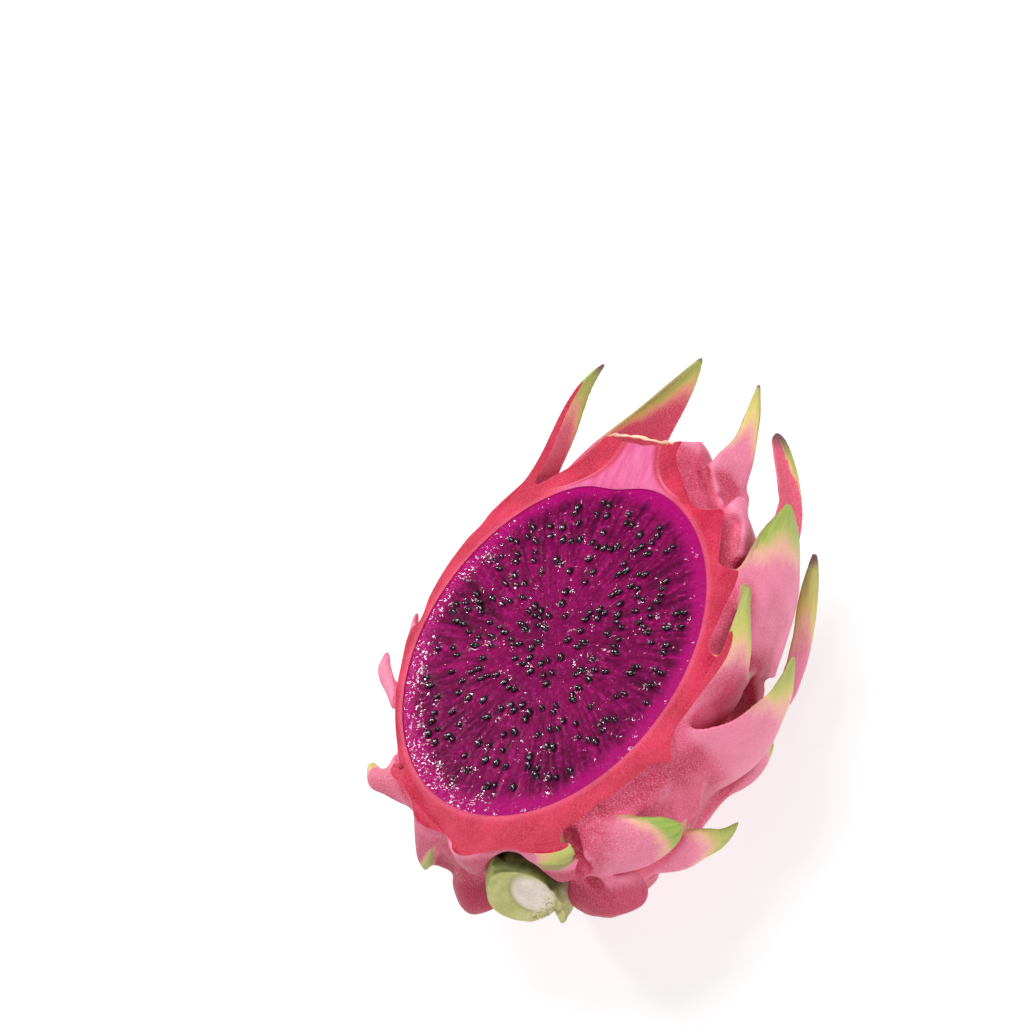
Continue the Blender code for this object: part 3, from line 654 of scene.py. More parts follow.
# Round-ended bodies between two places, with a radius. Lobes swell the wall beside the neck and
# over the right of the cut face. Valleys are sunk in it at the right, over the near leaf and over
# the stem. Pockets are sunk in wall and bracts alike: beside the neck, in the fold there, at the
# right and round the stem. Folds are narrow ones beside the neck, beside the near leaf and in the
# lobe under it.
LOBES = (
    ((12.5, 55.5, 45.0), (17.5, 49.0, 45.5), 4.2),
    ((31.5, 41.0, 50.5), (34.8, 29.7, 47.5), 2.6),
    ((35.5, 2.0, 49.5), (36.0, 20.0, 49.5), 4.0),
    ((35.0, -21.0, 49.5), (39.2, -3.0, 49.5), 4.9),
)
VALLEYS = (
    ((40.5, -13.5, 46.5), (41.5, -2.0, 35.5), 4.8),
    ((41.0, -33.5, 55.0), (27.5, -50.0, 55.0), 6.5),
    ((22.0, -57.2, 55.0), (9.0, -58.8, 55.0), 5.5),
)
POCKETS = (
    ((18.5, 54.5, 58.5), (25.5, 45.0, 58.5), 9.0),
    ((18.5, 50.5, 50.6), (25.5, 41.0, 51.4), 1.1),
    ((33.5, 35.2, 52.5), (36.0, 25.5, 52.5), 2.5),
    ((9.0, -54.5, 43.3), (10.5, -68.0, 43.3), 8.4),
)
FOLDS = (
    ((18.0, 51.4, 49.4), (25.0, 41.7, 50.0), 1.3),
    ((22.3, -47.5, 51.5), (25.3, -53.0, 46.0), 1.5),
    ((25.0, -52.8, 41.5), (28.3, -55.8, 38.5), 1.4),
    ((28.3, -55.8, 38.5), (33.8, -52.0, 39.0), 1.3),
)

# The block that the knife and the table leave of the whole fruit
KEPT_LOW = (-100.0, -100.0, 0.0)
KEPT_HIGH = (100.0, 150.0, CUT_HEIGHT)

field_from = np.floor(FIELD_LOW / CELL).astype(int)
field_shape = tuple(np.ceil((FIELD_HIGH - FIELD_LOW) / CELL).astype(int))


def distance_block(points, triangles, block_from, block_shape, cell=CELL):
    """Distance to a closed skin in each cell of a block, negative inside."""
    grid = openvdb.FloatGrid.createLevelSetFromPolygons(
        points.astype(np.float32), triangles=triangles.astype(np.uint32),
        transform=openvdb.createLinearTransform(voxelSize=cell), halfWidth=BAND_CELLS,
    )
    distance = np.empty(block_shape, np.float32)
    grid.copyToArray(distance, ijk=tuple(int(i) for i in block_from))
    return distance


def soft_least(a, b, width):
    """The smaller of two fields, rounded where they come within a width of each other."""
    near = np.clip(width - np.abs(a - b), 0, None)
    return np.minimum(a, b) - near**2 / (4 * width)


def lumps(shape, size, seed, cell=CELL):
    """A smooth random field of lumps of one size."""
    counts = [int(n * cell / size) + 4 for n in shape]
    swell = np.random.default_rng(seed).normal(size=counts)
    for axis, n in enumerate(shape):
        place = np.arange(n) * cell / size
        whole = place.astype(int)
        part = place - whole
        spline = (
            (1 - part) ** 3, 3 * part**3 - 6 * part**2 + 4,
            -3 * part**3 + 3 * part**2 + 3 * part + 1, part**3,
        )
        weights = np.zeros((n, counts[axis]))
        for k, weight in enumerate(spline):
            weights[np.arange(n), whole + k] = weight / 6
        swell = np.moveaxis(np.tensordot(weights, swell, axes=(1, axis)), 0, axis)
    return swell.astype(np.float32)


def blurred(values, reach, times=1):
    """A field averaged over a cube of cells."""
    for _ in range(times):
        for axis in range(3):
            padding = [(0, 0)] * 3
            padding[axis] = (reach + 1, reach)
            total = np.cumsum(np.pad(values, padding, mode="edge"), axis=axis, dtype=np.float32)
            upper = np.take(total, range(2 * reach + 1, total.shape[axis]), axis=axis)
            lower = np.take(total, range(total.shape[axis] - 2 * reach - 1), axis=axis)
            values = (upper - lower) / (2 * reach + 1)
    return values


def sampled(values, points):
    """A field read at points, in straight steps between its cells."""
    place = points / CELL - field_from
    place = np.clip(place, 0, np.array(values.shape) - 1.001)
    whole = place.astype(int)
    part = place - whole
    found = np.zeros(len(points))
    for corner in np.ndindex(2, 2, 2):
        weight = np.prod(np.where(corner, part, 1 - part), axis=1)
        found += weight * values[tuple((whole + corner).T)]
    return found


def around(low, high):
    """The cells of the whole field between two corners: their slices and their places."""
    low = np.maximum(np.floor(low / CELL).astype(int) - field_from, 0)
    high = np.minimum(np.ceil(high / CELL).astype(int) - field_from, field_shape)
    return tuple(slice(a, b) for a, b in zip(low, high)), low + field_from, tuple(high - low)


def cell_places(block_from, block_shape, cell=CELL):
    """The place of each cell of a block."""
    return (np.moveaxis(np.indices(block_shape), 0, -1) + block_from) * cell


def round_ended(start, end, radius, reach):
    """The slices and the distance field of a round-ended body."""
    start, end = np.array(start), np.array(end)
    part, low, shape = around(np.minimum(start, end) - reach, np.maximum(start, end) + reach)
    cells = cell_places(low, shape)
    share = np.clip((cells - start) @ (end - start) / ((end - start) @ (end - start)), 0, 1)
    distance = np.linalg.norm(cells - start - share[..., None] * (end - start), axis=-1) - radius
    return part, np.clip(distance, -BAND, BAND)


def join_bodies(field, bodies, blend, sign):
    """Swells a field by round-ended bodies where the sign is 1, and sinks them in it where -1."""
    for start, end, radius in bodies:
        part, body = round_ended(start, end, radius, radius + blend)
        field[part] = sign * soft_least(sign * field[part], body, blend)


blades = [bract_blade(one, RIPPLE_SHIFT * k) for k, one in enumerate(BRACTS)]
field = distance_block(*body_skin(), field_from, field_shape)
join_bodies(field, LOBES, LOBE_BLEND, 1)
join_bodies(field, VALLEYS, LOBE_BLEND, -1)
creases = lumps(field_shape, CREASE_SIZE, CREASE_RANDOM)
field += CREASE_DEPTH * np.exp(-((creases / CREASE_WIDTH) ** 2))
for blade in blades:
    points, triangles = closed_skin(blade.rings)
    part, low, shape = around(points.min(0) - BAND, points.max(0) + BAND)
    field[part] = soft_least(field[part], distance_block(points, triangles, low, shape), ROOT_BLEND)
field = blurred(np.clip(field, -BAND, BAND), 1)
field += LUMP_HEIGHT * lumps(field_shape, LUMP_SIZE, LUMP_RANDOM)
join_bodies(field, POCKETS + FOLDS, POCKET_BLEND, -1)


def new_mesh(name, points, faces, smooth=True):
    """An object whose mesh has these points, in millimetres, and these faces."""
    mesh = bpy.data.meshes.new(name)
    mesh.vertices.add(len(points))
    mesh.vertices.foreach_set("co", (np.asarray(points) * MM).astype(np.float32).ravel())
    faces = np.asarray(faces)
    mesh.loops.add(faces.size)
    mesh.loops.foreach_set("vertex_index", faces.astype(np.int32).ravel())
    mesh.polygons.add(len(faces))
    starts = np.arange(0, faces.size, faces.shape[1], dtype=np.int32)
    mesh.polygons.foreach_set("loop_start", starts)
    mesh.update(calc_edges=True)
    mesh.validate()
    if smooth:
        mesh.shade_smooth()
    thing = bpy.data.objects.new(name, mesh)
    bpy.context.scene.collection.objects.link(thing)
    return thing


def points_of(thing):
    """A mesh's points in millimetres."""
    flat = np.empty(len(thing.data.vertices) * 3, np.float32)
    thing.data.vertices.foreach_get("co", flat)
    return flat.reshape(-1, 3).astype(float) / MM


def outward(points, triangles):
    """The triangles turned so that they face out."""
    a, b, c = (points[triangles[:, k]] for k in range(3))
    volume = np.einsum("ij,ij->i", a, np.cross(b, c)).sum()
    return triangles if volume > 0 else triangles[:, ::-1]


def field_mesh(name, values, values_from, cell=CELL):
    """The skin where a distance field is zero, as an object."""
    grid = openvdb.FloatGrid(cell * BAND_CELLS)
    grid.transform = openvdb.createLinearTransform(voxelSize=cell)
    grid.copyFromArray(values.astype(np.float32), ijk=tuple(int(i) for i in values_from))
    points, _, quads = grid.convertToPolygons()
    triangles = np.vstack([quads[:, [0, 1, 2]], quads[:, [0, 2, 3]]])
    return new_mesh(name, points, outward(points, triangles))


def apply_modifiers(thing):
    """Gives a thing the mesh that its modifiers make."""
    graph = bpy.context.evaluated_depsgraph_get()
    mesh = bpy.data.meshes.new_from_object(thing.evaluated_get(graph))
    thing.modifiers.clear()
    thing.data = mesh


def cut_with(thing, cutter, operation="DIFFERENCE"):
    """Cuts a mesh by another and removes the cutter."""
    cut = thing.modifiers.new("cut", "BOOLEAN")
    cut.operation = operation
    cut.object = cutter
    cut.solver = "MANIFOLD"
    apply_modifiers(thing)
    bpy.data.objects.remove(cutter)


def block(low, high):
    """A box between two corners."""
    sides = list(zip(low, high))
    corners = [(x, y, z) for x in sides[0] for y in sides[1] for z in sides[2]]
    faces = [(0, 1, 3, 2), (4, 6, 7, 5), (0, 4, 5, 1), (2, 3, 7, 6), (0, 2, 6, 4), (1, 5, 7, 3)]
    return new_mesh("block", corners, faces, smooth=False)


rind = field_mesh("rind_skin", field, field_from)
fewer = rind.modifiers.new("fewer", "DECIMATE")
fewer.ratio = min(1.0, MOST_TRIANGLES / len(rind.data.polygons))
apply_modifiers(rind)
cut_with(rind, block(KEPT_LOW, KEPT_HIGH), "INTERSECT")

# Where each point of the skin lies: along a bract, on one of its faces, in a fold or on a ridge
LEAF_START = 0.12
LEAF_FULL = 0.3
LEAF_REACH = 3.2
RIDGE_CELLS = 3
FOLD_CELLS = 9
TONE_RANDOM = 5


def smooth_step(value, low, high):
    """0 below low, 1 above high and smooth between."""
    share = np.clip((value - low) / (high - low), 0, 1)
    return share * share * (3 - 2 * share)


def give(thing, name, values):
    """Stores one number for each point of a mesh, for its material."""
    attribute = thing.data.attributes.new(name, "FLOAT", "POINT")
    attribute.data.foreach_set("value", np.asarray(values, np.float32))


def normals_of(thing):
    """The normal at each point of a mesh."""
    flat = np.empty(len(thing.data.vertices) * 3, np.float32)
    thing.data.vertices.foreach_get("normal", flat)
    return flat.reshape(-1, 3)


leaf_middles = np.vstack([blade.middles.reshape(-1, 3) for blade in blades])
leaf_outer = np.vstack([blade.outer.reshape(-1, 3) for blade in blades])
leaf_share = np.concatenate([blade.share.ravel() for blade in blades])
leaf_across = np.concatenate([blade.across.ravel() for blade in blades])
leaf_number = np.repeat(np.arange(len(blades)), blades[0].share.size)
leaf_tree = KDTree(len(leaf_middles))
for number, middle in enumerate(leaf_middles):
    leaf_tree.insert(middle, number)
leaf_tree.balance()

skin_points = points_of(rind)
skin_normals = normals_of(rind)
found = [leaf_tree.find(point)[1:] for point in skin_points]
nearest = np.array([number for number, _ in found])
apart = np.array([distance for _, distance in found])
above = np.einsum("ij,ij->i", skin_points - leaf_middles[nearest], leaf_outer[nearest])
facing = np.einsum("ij,ij->i", skin_normals, leaf_outer[nearest])
share = leaf_share[nearest]
across = leaf_across[nearest]
which = leaf_number[nearest]
green_from, lean, brown_from, hue, deep = (
    np.array([getattr(one, name) for one in BRACTS])[which]
    for name in ("green", "lean", "brown", "hue", "deep")
)
leaf = smooth_step(share, LEAF_START, LEAF_FULL) * (1 - smooth_step(apart, LEAF_REACH - 1, LEAF_REACH))
leaf = leaf * smooth_step(above * facing, -0.5, 0.0)
give(rind, "leaf", leaf)
give(rind, "share", share)
give(rind, "green", (share + lean * across - green_from) / np.maximum(1 - green_from, 0.1))
give(rind, "brown", (share - brown_from) / np.maximum(1 - brown_from, 0.03))
give(rind, "across", across)
give(rind, "inner", leaf * smooth_step(-facing, -0.2, 0.3))
give(rind, "deep", leaf * deep)
give(rind, "hue", hue)
give(rind, "tone", np.random.default_rng(TONE_RANDOM).random(len(BRACTS))[which])
# How much each point stands out or lies in a hollow: these drive the painted highlight and the painted shade
# of the skin
clipped = np.clip(field, -BAND, BAND)
give(rind, "ridge", sampled(blurred(clipped, RIDGE_CELLS, 2) - clipped, skin_points))
give(rind, "fold_shade", sampled(blurred(np.clip(0.5 - field / CELL, 0, 1), FOLD_CELLS, 2), skin_points) - 0.5)


class Wire:
    """A shader socket that Python sums and products can use: each adds its Math node."""

    def __init__(self, tree, socket):
        self.tree = tree
        self.socket = socket

    def node(self, kind, settings, values, out=0):
        """Adds a node with its settings first, then the values or wires of its sockets."""
        made = self.tree.nodes.new(kind)
        for name, setting in settings.items():
            setattr(made, name, setting)
        for name, value in values.items():
            if isinstance(value, Wire):
                self.tree.links.new(value.socket, made.inputs[name])
            else:
                made.inputs[name].default_value = value
        return Wire(self.tree, made.outputs[out])

    def math(self, operation, *terms):
        """A Math node on this wire and other terms."""
        return self.node("ShaderNodeMath", {"operation": operation}, dict(enumerate((self,) + terms)))

    def __add__(self, other):
        return self.math("ADD", other)

    def __radd__(self, other):
        return self.math("ADD", other)

    def __sub__(self, other):
        return self.math("SUBTRACT", other)

    def __rsub__(self, other):
        return (self * -1.0).math("ADD", other)

    def __mul__(self, other):
        return self.math("MULTIPLY", other)

    def __rmul__(self, other):
        return self.math("MULTIPLY", other)

    def step(self, low, high):
        """0 below low, 1 above high and smooth between."""
        settings = {"interpolation_type": "SMOOTHSTEP"}
        return self.node("ShaderNodeMapRange", settings, {0: self, 1: low, 2: high})

    def bell(self, middle, width):
        """1 at the middle, falling to 0 a width away."""
        return 1.0 - ((self - middle).math("ABSOLUTE") * (1 / width)).step(0.0, 1.0)

    def blend(self, first, second):
        """Goes from the first colour to the second as this wire goes from 0 to 1."""
        values = {0: self, 6: first, 7: second}
        return self.node("ShaderNodeMix", {"data_type": "RGBA"}, values, out=2)

    def noise(self, size, detail=2.0, rough=0.5):
        """Clouds of one size in millimetres over this place, from 0 to 1."""
        values = {"Vector": self, "Scale": 1000 / size, "Detail": detail, "Roughness": rough}
        return self.node("ShaderNodeTexNoise", {}, values)

    def stretched(self, x, y, z):
        """This place scaled by a factor along each axis."""
        return self.node("ShaderNodeVectorMath", {"operation": "MULTIPLY"}, {0: self, 1: (x, y, z)})

    def parts(self):
        """The x, y and z of this place, in millimetres."""
        split = self.node("ShaderNodeSeparateXYZ", {}, {0: self}).socket.node
        return [Wire(self.tree, output) * 1000.0 for output in split.outputs]

    def bump(self, height, distance):
        """A normal that stands for relief of this height in millimetres."""
        return self.node("ShaderNodeBump", {}, {"Height": height, "Distance": distance * MM})


def tone(red, green, blue):
    """A colour from its screen values, 0 to 255."""
    screen = np.array([red, green, blue]) / 255
    linear = np.where(screen > 0.04045, ((screen + 0.055) / 1.055) ** 2.4, screen / 12.92)
    return (*linear, 1.0)


def new_material(name, **constants):
    """A material, its shader, and the place on the object as a wire."""
    material = bpy.data.materials.new(name)
    material.use_nodes = True
    shader = material.node_tree.nodes["Principled BSDF"]
    for socket, value in constants.items():
        shader.inputs[socket.replace("_", " ")].default_value = value
    start = material.node_tree.nodes.new("ShaderNodeTexCoord")
    return material, shader, Wire(material.node_tree, start.outputs["Object"])


def plug(shader, **wires):
    """Links each wire to the shader's socket of that name."""
    for socket, wire in wires.items():
        wire.tree.links.new(wire.socket, shader.inputs[socket.replace("_", " ")])


# Skin: waxy pink with a pale bloom and a painted highlight on what stands out, painted shade of deep red
# in the folds, deep red on the inner faces of the bracts, which turn yellow and green towards a brown tip
skin_material, shader, place = new_material(
    "dragon_fruit_skin", IOR=1.4,
    Subsurface_Weight=0.12, Subsurface_Radius=(1.0, 0.25, 0.2), Subsurface_Scale=2.0 * MM,
)


def held(place, name):
    """What a mesh holds for each point under this name."""
    return place.node("ShaderNodeAttribute", {"attribute_name": name}, {}, out="Fac")


leaf, green, brown = held(place, "leaf"), held(place, "green"), held(place, "brown")
across, share, inner = held(place, "across"), held(place, "share"), held(place, "inner")
ridge, fold_shade, hue, deep = (held(place, name) for name in ("ridge", "fold_shade", "hue", "deep"))
clouds = place.noise(14.0, 3.0, 0.55)
grain = place.noise(0.32, 2.0, 0.7)
speckle = place.noise(0.9, 2.0, 0.6)
along_leaf = place.node(
    "ShaderNodeCombineXYZ", {}, {0: across * 9.0, 1: share * 1.6, 2: held(place, "tone") * 7.0},
)
streaks = place.node("ShaderNodeTexNoise", {}, {"Vector": along_leaf, "Scale": 1.0, "Detail": 3.0})
colour = clouds.step(0.35, 0.68).blend(tone(186, 28, 70), tone(220, 78, 118))
# Painted shade: the folds and hollows of the skin are coloured a darker red
colour = (fold_shade + (speckle - 0.5) * 0.1).step(0.0, 0.17).blend(colour, tone(180, 22, 62))
# The skin's own pale bloom together with a painted highlight: paler where the skin stands out, less in its
# folds
bloom_and_highlight = (ridge * 1.4 - fold_shade * 2.4 + (clouds - 0.5) * 0.9).step(0.15, 0.85)
colour = (bloom_and_highlight * (0.58 - deep * 0.5)).blend(colour, tone(238, 146, 178))
colour = (deep * 0.8).blend(colour, tone(172, 16, 58))
colour = ((inner + (speckle - 0.5) * 0.3).step(0.25, 0.75) * 0.85).blend(colour, tone(222, 66, 96))
colour = (grain.step(0.4, 0.7333) * (0.44 - deep * 0.26)).blend(colour, tone(248, 170, 194))
zone = green + (across * across - 0.25) * 0.45 + (streaks - 0.5) * 0.35
zone = zone + (clouds - 0.5) * 0.8 + (grain - 0.5) * 0.3
on_leaf = leaf.step(0.3, 0.8)
colour = (zone.step(-0.35, 0.1) * on_leaf * 0.5).blend(colour, tone(240, 206, 150))
greens = (zone * 0.8 + hue * 0.9).step(0.35, 1.25).blend(tone(224, 218, 100), tone(132, 166, 64))
greens = (streaks.step(0.3, 0.75) * 0.4).blend(greens, tone(206, 206, 112))
colour = (zone.step(0.0, 0.4) * on_leaf * (hue * 0.4 + 0.6)).blend(colour, greens)
margin = across.math("ABSOLUTE").step(0.86, 0.97) * (green + 0.8).step(0.0, 0.8) * on_leaf
colour = (margin * 0.55).blend(colour, tone(150, 116, 84))
browning = (brown + (streaks - 0.5) * 0.8).step(-0.2, 0.7) * on_leaf
colour = browning.blend(colour, tone(122, 82, 86))
plug(
    shader, Base_Color=colour, Roughness=0.42 + (speckle - 0.5) * 0.25,
    Normal=place.bump(grain + speckle * 0.8 + streaks * leaf * 2.0, 0.11),
)

# Cut peel: damp coral tissue, finely granular, with a thin pale line beside the flesh. At the
# blossom end lilac fibres fan up to the dried scar of the flower.
FLESH_CENTRE = np.array([-1.5, -0.9, 46.0])
FLESH_RADII = np.array([38.6, 46.3, 41.0])
FLESH_DENT = 0.05
FLESH_DENT_WIDTH = 0.2
FLESH_TOP = FLESH_RADII[:2] * np.cos(np.arcsin((CUT_HEIGHT - FLESH_CENTRE[2]) / FLESH_RADII[2]))
FAN_FROM = 42.3
peel_material, shader, place = new_material(
    "cut_peel", IOR=1.36, Specular_IOR_Level=0.25,
    Subsurface_Weight=0.25, Subsurface_Radius=(1.0, 0.3, 0.25), Subsurface_Scale=3.0 * MM,
)
x, y, z = place.parts()
grain = place.noise(0.45, 3.0, 0.65)
clouds = place.noise(9.0, 3.0)
off_x = (x - FLESH_CENTRE[0]) * (1 / FLESH_TOP[0])
off_y = (y - FLESH_CENTRE[1]) * (1 / FLESH_TOP[1])
from_flesh = ((off_x * off_x + off_y * off_y).math("SQRT") - 1.0) * FLESH_TOP.mean()
in_neck = y.step(40.0, 43.0)
fan_middle = 0.6 - ((y - FAN_FROM) * -0.33).math("EXPONENT") * 2.2
fan_half = ((y - FAN_FROM) * -0.208).math("EXPONENT") * 11.0 + 4.4
off_fan = (x - fan_middle).math("ABSOLUTE") - fan_half + (clouds - 0.5) * 1.2
fan = (off_fan * -1.0).step(0.0, 2.0) * in_neck
fan_line = off_fan.bell(0.3, 0.8) * in_neck * (0.4 - y.step(44.0, 50.0) * 0.28)
threads = place.stretched(1.0, 0.16, 1.0).noise(1.8, 3.0, 0.55)
colour = clouds.step(0.3, 0.7).blend(tone(174, 12, 52), tone(204, 38, 76))
colour = (from_flesh.step(3.0, 9.0) * 0.5).blend(colour, tone(168, 12, 48))
colour = (from_flesh.bell(0.5, 1.2) * 0.25).blend(colour, tone(236, 108, 148))
fan_colour = threads.step(0.2, 0.8).blend(tone(204, 74, 136), tone(222, 118, 168))
colour = (fan * 0.85).blend(colour, fan_colour)
colour = fan_line.blend(colour, tone(246, 160, 184))
colour = (grain.step(0.4, 0.7333) * 0.24).blend(colour, tone(240, 120, 140))
plug(shader, Base_Color=colour, Roughness=0.38 + (grain - 0.5) * 0.3, Normal=place.bump(grain, 0.16))


def outline_of_flesh(angle):
    """Share of the full radius of the flesh round its middle: it is dented at the blossom end."""
    from_blossom = np.abs(np.angle(np.exp(1j * (angle - np.pi / 2))))
    return 1 - FLESH_DENT * np.exp(-((from_blossom / FLESH_DENT_WIDTH) ** 2))


def flesh_rings(around, steps, offset, top):
    """Rings of the flesh's bowl from its bottom up to a height."""
    radii = FLESH_RADII + offset
    highest = np.arcsin((top - FLESH_CENTRE[2]) / radii[2])
    angle = np.arange(around) * 2 * np.pi / around
    polar = np.linspace(-np.pi / 2, highest, steps + 1)[1:, None]
    dent = outline_of_flesh(angle)
    return FLESH_CENTRE + np.stack([
        radii[0] * np.cos(polar) * np.cos(angle) * dent,
        radii[1] * np.cos(polar) * np.sin(angle) * dent,
        np.broadcast_to(radii[2] * np.sin(polar), (steps, around)),
    ], -1)


def solid(name, rings):
    """An object with a closed skin over these rings."""
    points, triangles = closed_skin(rings)
    return new_mesh(name, points, outward(points, triangles))


HOLLOW_ABOVE = 5.0
HOLLOW_AROUND = 400
HOLLOW_STEPS = 40
BOWL_EDGE = 1.003
KNIFE_DEPTH = 0.01
KNIFE_LEVEL = 0.99
SHARP_ANGLE = np.radians(60)

hollow = flesh_rings(HOLLOW_AROUND, HOLLOW_STEPS, 0.0, CUT_HEIGHT + HOLLOW_ABOVE)
cut_with(rind, solid("hollow", hollow))
rind.data.materials.clear()
rind.data.materials.append(skin_material)
rind.data.materials.append(peel_material)
middles = np.array([face.center for face in rind.data.polygons]) / MM
turned = np.array([face.normal for face in rind.data.polygons])
on_knife = (middles[:, 2] > CUT_HEIGHT - KNIFE_DEPTH) & (turned[:, 2] > KNIFE_LEVEL)
in_bowl = np.linalg.norm((middles - FLESH_CENTRE) / FLESH_RADII, axis=1) < BOWL_EDGE
rind.data.polygons.foreach_set("material_index", (on_knife | in_bowl).astype(np.int32))
rind.data.shade_smooth()
rind.data.set_sharp_from_angle(angle=SHARP_ANGLE)
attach(rind, "root")
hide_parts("rind")

# Scar: the dried cream rim of tissue where the flower came off, a thin wavy bead along the end of
# the neck. It has grown on the rind.
SCAR_CORNERS = (
    (-11.0, 57.4, 51.6), (-9.0, 58.4, 52.8), (-5.0, 58.1, 52.9), (0.0, 57.6, 52.9),
    (5.0, 56.9, 52.9), (9.0, 56.2, 52.8), (10.8, 55.9, 52.4),
)
SCAR_RADIUS = 0.3
SCAR_WAVE = 0.2
SCAR_WIDE = 1.3
SCAR_AROUND = 12
SCAR_STEPS = 24
SCAR_END_STEPS = 20

scar_path = smooth_path(SCAR_CORNERS, SCAR_STEPS)
run = np.arange(len(scar_path))
scar_path[:, 2] += SCAR_WAVE * np.sin(run * 0.21) * np.sin(run * 0.053)
scar_path[:, 1] += SCAR_WAVE * (np.sin(run * 0.11 + 1) + 0.6 * np.sin(run * 0.29))
scar_along = np.gradient(scar_path, axis=0)
scar_side = np.cross(scar_along, [0, 0, 1])
scar_side /= np.linalg.norm(scar_side, axis=1)[:, None]
scar_width = SCAR_RADIUS * (1 + 0.3 * np.sin(run * 0.17 + 2) + 0.2 * np.sin(run * 0.43))
scar_width *= np.clip(np.minimum(run, run[::-1]) / SCAR_END_STEPS, 0.2, 1)
angle = np.arange(SCAR_AROUND) * 2 * np.pi / SCAR_AROUND
scar_rings = [
    middle + wide * (np.outer(np.cos(angle), side) * SCAR_WIDE + np.outer(np.sin(angle), [0, 0, 1]))
    for middle, side, wide in zip(scar_path, scar_side, scar_width)
]
scar = solid("blossom_scar", scar_rings)
scar_material, shader, place = new_material("dried_scar", IOR=1.4)
grain = place.noise(0.5, 3.0, 0.6)
clouds = place.noise(3.0, 2.0)
colour = (clouds * 0.8 + grain * 0.3).step(0.35, 0.75).blend(tone(226, 156, 132), tone(246, 222, 184))
plug(shader, Base_Color=colour, Roughness=0.6 + (grain - 0.5) * 0.3, Normal=place.bump(grain, 0.2))
scar.data.materials.append(scar_material)
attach(scar, "root")

# Flesh: wet magenta pulp, darker between its radial fibres and brighter at its rim, cut flat with
# a low relief of fibres and a small dent round each seed. It fills the rind's hollow.
FLESH_AROUND = 420
FLESH_BOWL_STEPS = 24
FLESH_TOP_STEPS = 120
FLESH_CLEARANCE = 0.02
FIBRE_HEIGHT = 0.018
FIBRE_WAVES = 12
FIBRES_FEWEST = 30
FIBRES_MOST = 130
FIBRE_RANDOM = 7
FULL_TURN = 6.3
RIM_FALL = 0.3
RIM_FROM = 0.86
SEED_COUNT = 240
SEED_LENGTH = 2.3
SEED_WIDTH = 1.3
SEED_SPREAD = 0.87
SEED_CROWDING = 0.52
SEED_SPACING = 1.7
CLUMP_SPACING = 2.7
CLUMP_SIZES = (1, 1, 1, 1, 2, 2, 3, 4)
CLUMP_REACH = (1.7, 2.3)
SEED_STRAY = 0.35
SEED_RANDOM = 11
SEED_DENT = 0.16
SEED_DENT_REACH = 1.5


def seed_places():
    """Where seeds lie in the cut face, alone or in clumps, and where each points: off the middle."""
    draw = np.random.default_rng(SEED_RANDOM)
    places = []
    while len(places) < SEED_COUNT:
        heading = draw.uniform(0, 2 * np.pi)
        reach = SEED_SPREAD * draw.random() ** SEED_CROWDING
        spot = reach * FLESH_TOP * [np.cos(heading), np.sin(heading)]
        spacing = CLUMP_SPACING
        for _ in range(draw.choice(CLUMP_SIZES)):
            room = min([np.linalg.norm(spot - other) for other in places], default=CLUMP_SPACING)
            if room < spacing or np.linalg.norm(spot / FLESH_TOP) > SEED_SPREAD:
                break
            places.append(spot)
            spacing = SEED_SPACING
            heading = draw.uniform(0, 2 * np.pi)
            spot = spot + draw.uniform(*CLUMP_REACH) * np.array([np.cos(heading), np.sin(heading)])
    places = np.array(places[:SEED_COUNT])
    heading = np.arctan2(places[:, 1], places[:, 0]) + draw.normal(0, SEED_STRAY, len(places))
    return places + FLESH_CENTRE[:2], heading


seed_spots, seed_headings = seed_places()
bowl = flesh_rings(FLESH_AROUND, FLESH_BOWL_STEPS, -FLESH_CLEARANCE, CUT_HEIGHT - RIM_FALL)
shares = np.linspace(1, 0, FLESH_TOP_STEPS + 1)[1:-1, None, None]
middle = np.array([FLESH_CENTRE[0], FLESH_CENTRE[1], CUT_HEIGHT])
top = middle + (bowl[-1] - middle) * shares
top[..., 2] = CUT_HEIGHT
spokes = np.arctan2(top[..., 1] - middle[1], top[..., 0] - middle[0])
draw = np.random.default_rng(FIBRE_RANDOM)
relief = 0.0
for count in draw.integers(FIBRES_FEWEST, FIBRES_MOST, FIBRE_WAVES):
    turn = draw.uniform(0, FULL_TURN)
    bends = draw.uniform(2, 7) * shares[..., 0] + draw.uniform(0, FULL_TURN)
    relief = relief + np.cos(count * spokes + turn + 3 * np.sin(bends)) * FIBRE_HEIGHT / 3
seed_near = np.zeros(top.shape[:2])
for spot in seed_spots:
    apart = np.hypot(top[..., 0] - spot[0], top[..., 1] - spot[1])
    seed_near = np.maximum(seed_near, np.exp(-((apart / SEED_DENT_REACH) ** 2)))
fade = smooth_step(1 - shares[..., 0], 0, 0.05) * smooth_step(shares[..., 0], 0.1, 0.5)
top[..., 2] += fade * relief - SEED_DENT * seed_near
top[..., 2] -= RIM_FALL * np.clip((shares[..., 0] - RIM_FROM) / (1 - RIM_FROM), 0, 1) ** 2
flesh = solid("flesh_pulp", np.concatenate([bowl, top]))
give(flesh, "seed_near", np.concatenate([np.zeros(bowl[..., 0].size), seed_near.ravel(), [0, 0]]))
flesh_material, shader, place = new_material(
    "dragon_fruit_flesh", IOR=1.33, Specular_IOR_Level=0.1,
    Subsurface_Weight=0.15, Subsurface_Radius=(1.0, 0.15, 0.5), Subsurface_Scale=2.0 * MM,
)
x, y, z = place.parts()
off_x = (x - FLESH_CENTRE[0]) * (1 / FLESH_TOP[0])
off_y = (y - FLESH_CENTRE[1]) * (1 / FLESH_TOP[1])
reach = (off_x * off_x + off_y * off_y).math("SQRT")
spoke_x, spoke_y = off_x.math("DIVIDE", reach + 0.02), off_y.math("DIVIDE", reach + 0.02)
